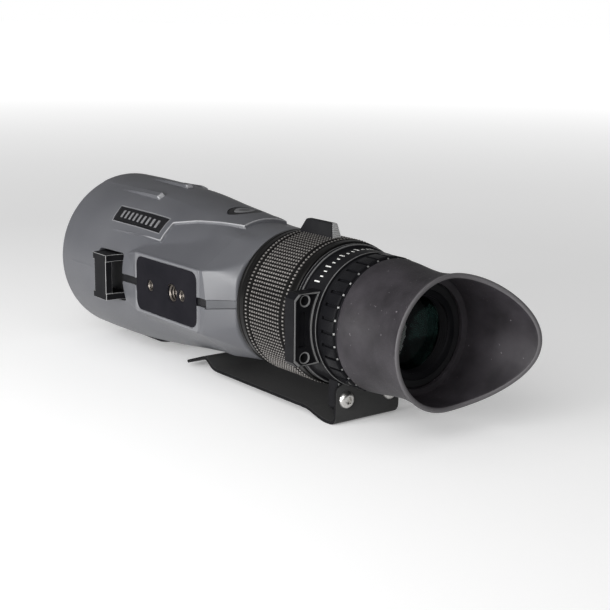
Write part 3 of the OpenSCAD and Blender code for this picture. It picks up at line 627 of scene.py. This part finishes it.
def cut(target, points, faces):
    """Takes a solid, given in collar millimetres, away from the target."""
    mesh = bpy.data.meshes.new("cutter")
    mesh.from_pydata(place(points), [], faces)
    face_outward(mesh)
    cutter = bpy.data.objects.new("cutter", mesh)
    bpy.context.scene.collection.objects.link(cutter)
    modifier = target.modifiers.new("cut", "BOOLEAN")
    modifier.operation = "DIFFERENCE"
    modifier.solver = "MANIFOLD"
    modifier.object = cutter
    apply(target, modifier)
    bpy.data.objects.remove(cutter)


def face_outward(mesh):
    work = bmesh.new()
    work.from_mesh(mesh)
    bmesh.ops.recalc_face_normals(work, faces=work.faces)
    work.to_mesh(mesh)
    work.free()


armour()


def inlays():
    """Badges, emblem plate and grip strips that lie in the armour, each with a raised rim or ribs."""
    rim = grown(BADGE, -0.55)
    badge = [(skin_slab((BADGE, BADGE_TURN), -1.2, -0.12, edge=0.2), 0.0),
             (skin_slab((rim, BADGE_TURN), -0.6, -0.05, edge=0.1), 0.0)]
    # The bars and the emblem's rings take the lighter colour.
    for k in range(9):
        y0 = 99.4 + 3.0 * k
        bar = densify([(y0, -1.3), (y0 + 1.3, -1.3), (y0 + 1.5, 2.1), (y0 + 0.2, 2.1)])
        badge.append((skin_slab((bar, BADGE_TURN), -0.4, 0.06, rings=3, edge=0.1), 1.0))
    for side, flip in (("right", False), ("left", True)):
        join(f"{side}_badge", badge, flip, "side_badges", "badge_plastic", "badge_plastic")
        strip = [(skin_slab(on_flank(grown(STRIP, -0.12)), -1.2, -0.4, edge=0.15), 0.0)]
        join(f"{side}_grip_strip", strip, flip, "grip_strips", "trim_rubber", "strip_rubber")
    emblem = [(skin_slab((OVAL, math.pi / 2), -1.2, -0.12, edge=0.2), 0.0)]
    for scale in (0.62, 0.36):
        ring = almond(EMBLEM_Y, 7.2 * scale, 4.8 * scale)
        emblem.append((skin_slab((ring, math.pi / 2), -0.5, 0.1 - 0.15 * scale, edge=0.15), 2.0 * scale))
    join("top_emblem_plate", emblem, False, "top_oval_plate", "badge_plastic", "badge_plastic")


def join(name, solids, flip, node, slot, material):
    """One piece made of several closed solids, each with its own share of the lighter colour, in place of a CAD
    node.
    """
    points, faces, wear_and_highlight = [], [], []
    for solid, wear_and_highlight_share in solids:
        solid_points, solid_faces = mirrored(solid) if flip else solid
        faces += [tuple(i + len(points) for i in f) for f in solid_faces]
        points += solid_points
        wear_and_highlight += [wear_and_highlight_share] * len(solid_points)
    obj = piece(name, points, faces, "scope_body", slot, material=material, sharp=40, wear_and_highlight=wear_and_highlight)
    face_outward(obj.data)
    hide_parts(node)


inlays()


# ---------------------------------------------------------------- focus ring

RING_LOW, RING_HIGH = collar_box("focus_ring")
RING_R = RING_HIGH.x


def knurl(stations, root, tip, count, flat, skew=0.0):
    """Rows of square pyramids round the axis: points, faces and how far each point takes the lighter tip
    colour, bare worn metal with a painted highlight.
    """
    points, faces, wear_and_highlight = [], [], []
    half = math.pi / count
    for y0, y1 in zip(stations, stations[1:]):
        mid, reach = (y0 + y1) / 2 + skew * (y1 - y0), (y1 - y0) / 2 * flat
        for k in range(count):
            a = 2 * half * k
            base = len(points)
            for r, s0, s1, w in ((root, y0, y1, half), (tip, mid - reach, mid + reach, half * flat)):
                for s, t in ((s0, a - w), (s1, a - w), (s1, a + w), (s0, a + w)):
                    points.append((r * math.cos(t), s, r * math.sin(t)))
                    wear_and_highlight.append(0.0 if r == root else 1.0)
            faces += block_faces(base)
    return points, faces, wear_and_highlight


def focus_ring():
    """Ring body with a square knurl, a row of teeth in front and one behind."""
    bore = RING_R - 3
    root = RING_R - 0.62
    profile = [(bore, RING_LOW.y), (root - 0.2, RING_LOW.y), (RING_R - 0.5, RING_LOW.y + 0.3),
               (RING_R - 0.4, RING_LOW.y + 0.8), (RING_R - 0.4, 14.1), (root, 14.3), (root, 16.1),
               (RING_R - 0.9, 16.4), (RING_R - 0.9, 17.0), (root, 17.2), (root, 34.9),
               (RING_R - 0.95, 35.1), (RING_R - 0.95, 35.7), (root, 35.9), (root, 38.2),
               (RING_R - 0.25, 38.4), (RING_R - 0.25, 40.2), (RING_R - 0.55, 40.4), (RING_R - 0.55, 40.9),
               (RING_R - 0.3, 41.1), (RING_R - 0.3, 42.2), (RING_R - 0.8, RING_HIGH.y), (bore, RING_HIGH.y)]
    points, faces = revolve(profile, 240)
    body = piece("focus_ring_body", points, faces, "focus", "focus_aluminium", sharp=30,
                 wear_and_highlight=[0.0] * len(points))
    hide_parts("focus_ring")
    count = 118
    for name, stations, skew in (("focus_knurl", np.linspace(17.3, 34.8, 14), 0.0),
                                 ("focus_front_teeth", (35.95, 37.9), -0.15),
                                 ("focus_rear_teeth", (14.5, 16.0), 0.0)):
        points, faces, wear_and_highlight = knurl(list(stations), root - 0.05, RING_R, count, 0.24, skew)
        piece(name, points, faces, "focus", "focus_aluminium", wear_and_highlight=wear_and_highlight)


focus_ring()


# ---------------------------------------------------------------- eyecup

CUP_HIGH = collar_box("eyecup")[1]
CUP_OUTSIDE = ((-9.7, 22.5), (-12, 22.45), (-15, 22.1), (-20, 21.4), (-25, 21.0), (-28, 20.9), (-33, 21.3),
               (-38.5, 22.1), (-42, 23.1), (-48, 24.5), (-54, 25.9), (-60, 27.0))
CUP_RIM = -38.5
WING = 15.0
WING_REACH = 25.8


def cup_radius(y):
    return smoothed(tuple(sorted(CUP_OUTSIDE)), y, 2.0)


def rim_station(turn):
    """Station of the rim at each angle: flat on the left, swept back into a wing on the right."""
    y = np.full(turn.shape, CUP_RIM)
    for _ in range(40):
        x = np.maximum(cup_radius(y) * np.cos(turn), 0)
        y = 0.5 * y + 0.5 * (CUP_RIM - WING * (x / WING_REACH) ** 2)
    return y


def eyecup():
    columns = 256
    turn = np.linspace(0, 2 * math.pi, columns, endpoint=False)
    rim = rim_station(turn)
    front = CUP_HIGH.y
    rows, wear_and_highlight = [], []

    def ring(radius, y, wear_and_highlight_share=0.0):
        rows.append(np.stack((radius * np.cos(turn), y, radius * np.sin(turn)), -1))
        wear_and_highlight.extend([wear_and_highlight_share] * columns)

    ring(20.05 + 0 * turn, front + 0 * turn)
    for inset, back in ((0.5, 0.0), (0.15, 0.12), (0.0, 0.5)):
        ring(cup_radius(front + 0 * turn) - inset, front - back + 0 * turn)
    wall = 1.5
    bead = 0.75
    for k in np.linspace(0.02, 1, 60):
        y = front - 0.5 + (rim + bead + 0.5 - front) * k
        swell = 0.12 * smoothstep(0.95, 1.0, k)
        ring(cup_radius(y) + swell, y)
    # The rim bead takes the lighter colour: a painted highlight.
    for k in range(1, 12):
        a = math.pi * k / 12
        y = rim + bead - bead * math.sin(a)
        ring(cup_radius(rim) + 0.12 - (wall + 0.2) / 2 * (1 - math.cos(a)), y, 0.85)
    step = -25.9
    for k in np.linspace(0, 1, 44):
        y = rim + bead + (step - rim - bead) * k
        ring(cup_radius(y) - wall + 0.25 * smoothstep(0.8, 1, k), y)
    for radius, y in ((19.5, -25.86), (19.1, -25.75), (18.0, -25.7), (17.65, -25.6), (17.6, -25.3),
                      (17.6, -24.3), (20.05, -24.3)):
        ring(radius + 0 * turn, y + 0 * turn)
    points = [tuple(p) for row in rows for p in row]
    obj = piece("eyecup_rubber", points, grid_faces(len(rows), columns, closed_rows=True), "eyecup",
                "eyecup_rubber", sharp=50, wear_and_highlight=wear_and_highlight)
    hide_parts("eyecup")


eyecup()


# ---------------------------------------------------------------- clip

def clip():
    """One bent sheet from the flange's top to the lip."""
    flange_low, flange_high = collar_box("clip_flange")
    blade_low, blade_high = collar_box("clip_blade")
    thick = 1.2
    back = flange_low.y + thick / 2
    bend = 3.4 - thick / 2
    lowest = blade_low.z + thick / 2
    path = [(back, z) for z in np.linspace(flange_high.z, lowest + bend, 12)]
    for k in range(1, 9):
        a = math.radians(90 * k / 8)
        path.append((back + bend - bend * math.cos(a), lowest + bend - bend * math.sin(a)))
    for y in np.linspace(back + bend + 1, 19, 14):
        path.append((y, lowest + 2.5 * float(smoothstep(5, 17, y))))
    path += [(y, lowest + 2.5) for y in np.linspace(22, 71, 18)]
    path += [(73.5, lowest + 2.7), (75.2, lowest + 3.4), (76.8, lowest + 4.6), (78.2, lowest + 5.4),
             (79.6, lowest + 5.7), (81, lowest + 5.45)]
    end = blade_high.y
    path += [(y, lowest + 5.45 - (y - 81) * 0.345) for y in np.linspace(82, end, 12)]
    path = np.array(path)
    ahead = np.gradient(path, axis=0)
    ahead /= np.linalg.norm(ahead, axis=1)[:, None]
    normal = np.stack((-ahead[:, 1], ahead[:, 0]), -1)
    run = np.concatenate(([0], np.cumsum(np.linalg.norm(np.diff(path, axis=0), axis=1))))
    half = np.interp(run, (0, run[19], run[26], run[-1]), (14, 14, blade_high.x, blade_high.x))
    for corner, from_end in ((3.0, run), (5.0, run[-1] - run)):
        inset = corner - np.sqrt(np.maximum(corner ** 2 - np.maximum(corner - from_end, 0) ** 2, 0))
        half = half - inset
    edge = 0.22
    section = [(-1, -1, 1, 0), (-1, -1, 0, 1), (-1, 1, 0, -1), (-1, 1, 1, 0), (1, 1, -1, 0), (1, 1, 0, -1),
               (1, -1, 0, 1), (1, -1, -1, 0)]
    rows = []
    for i in range(len(path)):
        for sx, sn, ex, en in section:
            x = sx * half[i] + ex * edge
            n = sn * thick / 2 + en * edge
            rows.append((x, path[i, 0] + normal[i, 0] * n, path[i, 1] + normal[i, 1] * n))
    count = len(section)
    faces = grid_faces(len(path), count)
    faces += [tuple(range(count - 1, -1, -1)), tuple(len(rows) - count + i for i in range(count))]
    # The broad faces take the lighter colour and the narrow sides keep the dark one.
    wear_and_highlight = [1.0 if k % 8 in (0, 3, 4, 7) else 0.0 for k in range(len(rows))]
    obj = piece("belt_clip", rows, faces, None, "clip_steel", sharp=20, wear_and_highlight=wear_and_highlight)
    face_outward(obj.data)
    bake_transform(obj)
    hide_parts("clip_flange", "clip_blade")


clip()


# ---------------------------------------------------------------- threads

def thread(name, centre, axis, radius, pitch, depth, body, slot, bite, material="thread_aluminium"):
    """Helical ridge on the wall of a hole; centre is the hole's mouth and axis points into it."""
    axis = Vector(axis)
    across = axis.orthogonal().normalized()
    beside = axis.cross(across)
    steps = 40
    turns = depth / pitch
    count = int(turns * steps)
    points = []
    for k in range(count + 1):
        a = 2 * math.pi * k / steps
        out = across * math.cos(a) + beside * math.sin(a)
        fade = min(1.0, k / 8, (count - k) / 8)
        for r, shift in ((radius + 0.05, -0.42), (radius - bite * fade, 0.0), (radius + 0.05, 0.42)):
            along_axis = 0.3 + pitch * k / steps + shift * pitch * 0.9
            points.append(tuple(Vector(centre) + out * r + axis * along_axis))
    faces = grid_faces(count + 1, 3)
    faces += [(2, 1, 0), (3 * count, 3 * count + 1, 3 * count + 2)]
    piece(name, points, faces, body, slot, material=material, sharp=60)


def plate_threads():
    """Threads in each plate's tripod socket and in the screw holes on both sides of it."""
    side_holes = ((10.2, 2.0, 0.7, 2.4, 0.33), (16.65, 3.2, 1.27, 4.6, 0.5), (32.3, 2.0, 0.7, 2.4, 0.33))
    bottom_holes = ((4.1, 2.0, 0.7, 1.7, 0.33), (11.7, 3.2, 1.27, 4.0, 0.5), (19.3, 2.0, 0.7, 1.7, 0.33))
    for side, holes in (("left", side_holes), ("right", side_holes), ("bottom", bottom_holes)):
        low, high = collar_box(f"{side}_mounting_plate")
        inward = {"left": (1, 0, 0), "right": (-1, 0, 0), "bottom": (0, 0, 1)}[side]
        face = {"left": (low.x, FLANK_Z), "right": (high.x, FLANK_Z), "bottom": (0, low.z)}[side]
        for k, (station, radius, pitch, depth, bite) in enumerate(holes):
            centre = (face[0], low.y + station, face[1])
            thread(f"{side}_plate_thread_{k + 1}", centre, inward, radius, pitch, depth, "scope_body",
                   "plate_aluminium", bite)


plate_threads()


def lug_threads():
    """Threads and turned mouths of the two holes in each side lug."""
    for sign, side in ((-1, "left"), (1, "right")):
        for z, level in ((-9.5, "lower"), (9.5, "upper")):
            thread(f"{side}_lug_thread_{level}", (sign * 26.1, 2.1, z), (0, 1, 0), 1.5, 0.5, 4.2, "scope_body",
                   "collar_aluminium", 0.25, "collar_aluminium")
            points, faces = revolve([(1.55, 2.2), (1.6, 1.95), (2.05, 1.72), (2.2, 1.8)], 40)
            points = [(sign * 26.1 + x, y, z + w) for x, y, w in points]
            # The mouth's lip takes the collar's lighter colour: a painted highlight.
            piece(f"{side}_lug_hole_rim_{level}", points, faces, "scope_body", "collar_aluminium", sharp=50,
                  wear_and_highlight=[0.0] * 40 + [1.0] * 80 + [0.0] * 40)


lug_threads()
thread("ocular_thread", (0, collar_box("ocular_retaining_ring")[0].y, 0), (0, 1, 0), 12.7, 0.9, 4.2,
       "ocular", "retainer_aluminium", 0.4, "retainer_aluminium")


# ---------------------------------------------------------------- collar and rounded copies of CAD pieces

GROOVES = 32
LUG_BACK = 1.4
LUG_FRONT = 6.2
LUG_HOLES = ((26.1, -9.5), (26.1, 9.5))


def lug_outline(inset):
    """Outline of an accessory lug in x and z, moved in by inset; its inner side follows the collar."""
    outer, half, chamfer, arc = 30.8 - inset, 12.2 - inset, 1.7, 23.2 + inset
    points = [(outer - chamfer, -half), (outer, chamfer - half), (outer, half - chamfer),
              (outer - chamfer, half)]
    return points + [(math.sqrt(arc ** 2 - z * z), z) for z in np.linspace(half, -half, 17)]


def accessory_collar():
    """Turned collar with its three lugs; each lug's rear face has a raised border round a field with two
    holes and a slot."""
    profile = [(20.05, 0.0), (22.5, 0.0), (23.0, 0.2), (23.1, 0.6), (23.1, 8.6), (23.3, 9.0), (24.3, 9.4),
               (24.4, 9.5), (24.4, 10.1), (24.3, 10.2), (24.05, 10.3), (24.05, 10.7), (24.3, 10.8),
               (24.4, 10.9), (24.4, 11.2), (22.8, 11.2), (22.8, 9.6), (20.05, 9.6)]
    # Profile corners that take the lighter colour as a painted highlight.
    highlit_profile_corners = ((23.0, 0.2), (24.3, 9.4), (24.3, 10.8))
    points, faces = revolve(profile, 200)
    ring = piece("collar_ring", points, faces, "scope_body", "collar_aluminium", sharp=25,
                 wear_and_highlight=[1.0 if profile[i // 200] in highlit_profile_corners else 0.0 for i in range(len(points))])
    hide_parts("accessory_collar")
    # Lug layers: inset, station, and painted highlight on the raised border's top.
    layers = ((0.0, LUG_FRONT, 0), (0.0, LUG_BACK + 0.3, 0), (0.3, LUG_BACK, 1), (0.75, LUG_BACK, 1),
              (1.05, LUG_BACK + 0.5, 0))
    for name, turn in (("right", 0.0), ("left", math.pi), ("lower", -math.pi / 2)):
        points, wear_and_highlight = [], []
        for inset, y, wear_and_highlight_share in layers:
            points += [(x, y, z) for x, z in lug_outline(inset)]
            wear_and_highlight += [wear_and_highlight_share] * 21
        faces = grid_faces(len(layers), 21)
        faces += [tuple(range(20, -1, -1)), tuple(len(points) - 21 + i for i in range(21))]
        lug = piece(f"{name}_accessory_lug", spun(points, turn), faces, None, "collar_aluminium", wear_and_highlight=wear_and_highlight)
        face_outward(lug.data)
        floor = LUG_BACK + 0.5
        for x, z in LUG_HOLES:
            hole = [(1.5, LUG_FRONT + 1), (1.5, floor + 0.35), (2.15, floor - 0.3), (2.15, floor - 2)]
            hole_points, hole_faces = revolve([(0.01, LUG_FRONT + 1)] + hole + [(0.01, floor - 2)], 32)
            hole_points = [(x + px, y, z + pz) for px, y, pz in hole_points]
            cut(lug, spun(hole_points, turn), hole_faces)
        slot = [(25.6, -5.8), (28.4, -5.8), (28.4, 5.8), (25.6, 5.8)]
        slot_points = [(x, y, z) for y in (0, floor + 0.8) for x, z in slot]
        cut(lug, spun(slot_points, turn), block_faces(0))
        crease(lug, 20)
        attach(lug, "scope_body")
        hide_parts("accessory_collar")


def spun(points, turn):
    """Points turned about the optical axis."""
    c, s = math.cos(turn), math.sin(turn)
    return [(x * c - z * s, y, x * s + z * c) for x, y, z in points]


accessory_collar()
# The diopter ring's rounded edges take a lighter material: a painted highlight.
softened("diopter_ring", 0.16, edge="groove_edge")


def groove_ends():
    """Small slope at the rear end of each of the diopter ring's grooves, painted bright as a glint."""
    high = collar_box("diopter_ring")[1]
    points, faces = [], []
    for k in range(GROOVES):
        turn = 2 * math.pi * k / GROOVES
        slope = [(high.x - 0.5, -8.1), (high.x - 0.95, -8.55), (high.x - 0.95, -8.05)]
        base = len(points)
        points += spun([(r, y, z) for z in (-0.32, 0.32) for r, y in slope], turn)
        faces += [(base, base + 1, base + 2), (base + 5, base + 4, base + 3)]
        faces += [(base + i, base + 3 + i, base + 3 + (i + 1) % 3, base + (i + 1) % 3) for i in range(3)]
    ends = piece("diopter_groove_ends", points, faces, "diopter", SLOT_OF["diopter_ring"], "painted_glint_metal")
    face_outward(ends.data)


groove_ends()
# Rounded copies; the strap lugs and mounting plates take lighter edge materials, a painted highlight.
for node, width in (("left_strap_lug", 0.65), ("right_strap_lug", 0.65), ("left_mounting_plate", 0.25),
                    ("right_mounting_plate", 0.25), ("bottom_mounting_plate", 0.25),
                    ("objective_bezel", 0.3), ("ocular_retaining_ring", 0.2), ("seam_inlays", 0.15)):
    softened(node, width)


# ---------------------------------------------------------------- clip screws and fin

def clip_screws():
    """Button-head screws with a hexagon socket, heads towards the user."""
    profile = [(0.02, -1.5), (1.6, -1.5), (2.0, -1.38), (2.5, -1.05), (2.85, -0.6), (3.0, -0.15),
               (3.0, 0.2), (1.5, 0.2), (1.5, 5.2), (0.02, 5.2)]
    corners = [math.radians(60 * k + 12) for k in range(6)]
    socket = [(1.45 * math.cos(a), 1.45 * math.sin(a)) for a in corners]
    for side, x in (("left", -9.5), ("right", 9.5)):
        points, faces = revolve(profile, 48)
        points = [(x + px, y + 0.2, z - 26.1) for px, y, z in points]
        screw = piece(f"{side}_clip_screw", points, faces, None, "bright_steel")
        hexagon = [(x + u, y, z - 26.1) for y in (-3, -0.3) for u, z in socket]
        sides = [(i, (i + 1) % 6, 6 + (i + 1) % 6, 6 + i) for i in range(6)]
        cut(screw, hexagon, [tuple(range(5, -1, -1)), tuple(range(6, 12))] + sides)
        crease(screw, 35)
        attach(screw, "scope_body")
        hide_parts("clip_screws")


clip_screws()


def focus_fin():
    """Tapered fin with fine steps on its light rear face and along its top."""
    levels = [22.0, 24.7]
    levels += [24.8 + 0.3 * k for k in range(16)] + [29.7, 30.0]
    points, wear_and_highlight = [], []
    for k, z in enumerate(levels):
        t = max(0.0, (z - 24.8) / 5.2)
        rear = 18.0 + 0.2 * (z - 22) / 2.8 if z < 24.8 else 18.2 + 1.4 * t + (0.28 if k % 2 else 0.0)
        front = 38.0 - 0.2 * (z - 22) / 2.8 if z < 24.8 else 37.8 - 3.4 * t
        half = 2.1 - 0.9 * t - (0.2 if z == 30.0 else 0)
        edge = 0.3
        if z == 30.0:
            rear, front = rear + 0.3, front - 0.3
        loop = [(-half + edge, rear, 1), (half - edge, rear, 1), (half, rear + edge, 0),
                (half, front - edge, 0), (half - edge, front, 0), (-half + edge, front, 0),
                (-half, front - edge, 0), (-half, rear + edge, 0)]
        for x, y, w in loop:
            points.append((x, y, z))
            wear_and_highlight.append(w if z > 24.8 else 0)
    faces = grid_faces(len(levels), 8)
    faces += [tuple(range(7, -1, -1)), tuple(len(points) - 8 + i for i in range(8))]
    obj = piece("focus_fin_ribbed", points, faces, "focus", "fin_plastic", sharp=25, wear_and_highlight=wear_and_highlight)
    face_outward(obj.data)
    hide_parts("focus_fin")


focus_fin()


# ---------------------------------------------------------------- marks

def collar_marks():
    """Plain scale of long and short white marks round the upper left of the collar."""
    radius = 23.12
    rear = 4.6
    points, faces = [], []
    for k in range(13):
        angle = math.radians(78 + 5.3 * k)
        length = 2.6 if k % 3 == 0 else 1.4
        half = 0.22 / radius
        base = len(points)
        for r in (radius - 0.1, radius + 0.03):
            for y, a in ((rear, angle - half), (rear + length, angle - half), (rear + length, angle + half),
                         (rear, angle + half)):
                points.append((r * math.cos(a), y, r * math.sin(a)))
        faces += block_faces(base)
    piece("collar_marks", points, faces, "scope_body", "collar_aluminium", material="mark_paint")


collar_marks()


# ---------------------------------------------------------------- camera, light and floor

def camera():
    azimuth, elevation, roll = (math.radians(a) for a in (-37.37, 12.72, 0.69))
    right = Vector((math.cos(azimuth), math.sin(azimuth), 0))
    back = Vector((math.sin(azimuth) * math.cos(elevation), -math.cos(azimuth) * math.cos(elevation),
                   math.sin(elevation)))
    up = back.cross(right)
    turned_right = right * math.cos(roll) + up * math.sin(roll)
    turned_up = up * math.cos(roll) - right * math.sin(roll)
    data = bpy.data.cameras.new("camera")
    data.sensor_width = 36
    data.lens = 75.57
    data.clip_start = 0.01
    data.clip_end = 20
    obj = bpy.data.objects.new("camera", data)
    bpy.context.scene.collection.objects.link(obj)
    rotation = Matrix((turned_right, turned_up, back)).transposed()
    obj.matrix_world = Matrix.Translation(place([(-269.805, -317.291, 98.806)])[0]) @ rotation.to_4x4()
    bpy.context.scene.camera = obj


def area_light(name, position, target, size, power):
    data = bpy.data.lights.new(name, "AREA")
    data.shape = "RECTANGLE"
    data.size, data.size_y = size
    data.energy = power
    obj = bpy.data.objects.new(name, data)
    bpy.context.scene.collection.objects.link(obj)
    obj.visible_camera = False
    obj.location = position
    obj.rotation_euler = (Vector(target) - Vector(position)).to_track_quat("-Z", "Y").to_euler()


def floor_paper():
    """White paper that glows a little, less so round the object, so that it stays pale to the horizon."""
    paper = finish("floor_paper", (0.88, 0.88, 0.88), (0.90, 0.90, 0.90), 0.85, patches=3, grain=400,
                   bump=0.02, specular=0.1)
    tree = paper.node_tree
    shader = tree.nodes["Principled BSDF"]
    distance = node_of(tree, "ShaderNodeVectorMath", operation="LENGTH")
    tree.links.new(node_of(tree, "ShaderNodeTexCoord").outputs["Object"], distance.inputs[0])
    shader.inputs["Emission Color"].default_value = (1, 1, 1, 1)
    glow = remap(tree, distance.outputs["Value"], 0.2, 0.68, 0.3, 1.6)
    tree.links.new(glow, shader.inputs["Emission Strength"])
    return paper


def studio():
    """Pale floor under a wide soft sky light, with a box close on the left for the flank's sheen."""
    middle = (0, -0.11, 0)
    area_light("left_box", (-0.5, -0.125, 0.07), middle, (0.36, 0.2), 3.0)
    area_light("front_left_box", (-0.8, -0.75, 0.6), middle, (0.7, 0.5), 5)
    sun = bpy.data.lights.new("sky_light", "SUN")
    sun.energy = 0.7
    sun.angle = math.radians(100)
    obj = bpy.data.objects.new("sky_light", sun)
    bpy.context.scene.collection.objects.link(obj)
    obj.rotation_euler = Vector((0.7, 0.25, -0.8)).to_track_quat("-Z", "Y").to_euler()
    world = bpy.data.worlds.new("studio")
    world.use_nodes = True
    tree = world.node_tree
    path = node_of(tree, "ShaderNodeLightPath")
    background = tree.nodes["Background"]
    background.inputs["Color"].default_value = (1, 1, 1, 1)
    strength = remap(tree, path.outputs["Is Camera Ray"], 0.22, 1.0, 0, 1)
    tree.links.new(strength, background.inputs["Strength"])
    bpy.context.scene.world = world
    bpy.context.scene.view_settings.view_transform = "Standard"
    size = 60.0
    mesh = bpy.data.meshes.new("floor")
    z = cad_low[2]
    corners = [(-size, -size, z), (size, -size, z), (size, size, z), (-size, size, z)]
    mesh.from_pydata(corners, [], [(0, 1, 2, 3)])
    floor = bpy.data.objects.new("floor", mesh)
    bpy.context.scene.collection.objects.link(floor)
    mesh.materials.append(floor_paper())


camera()
studio()
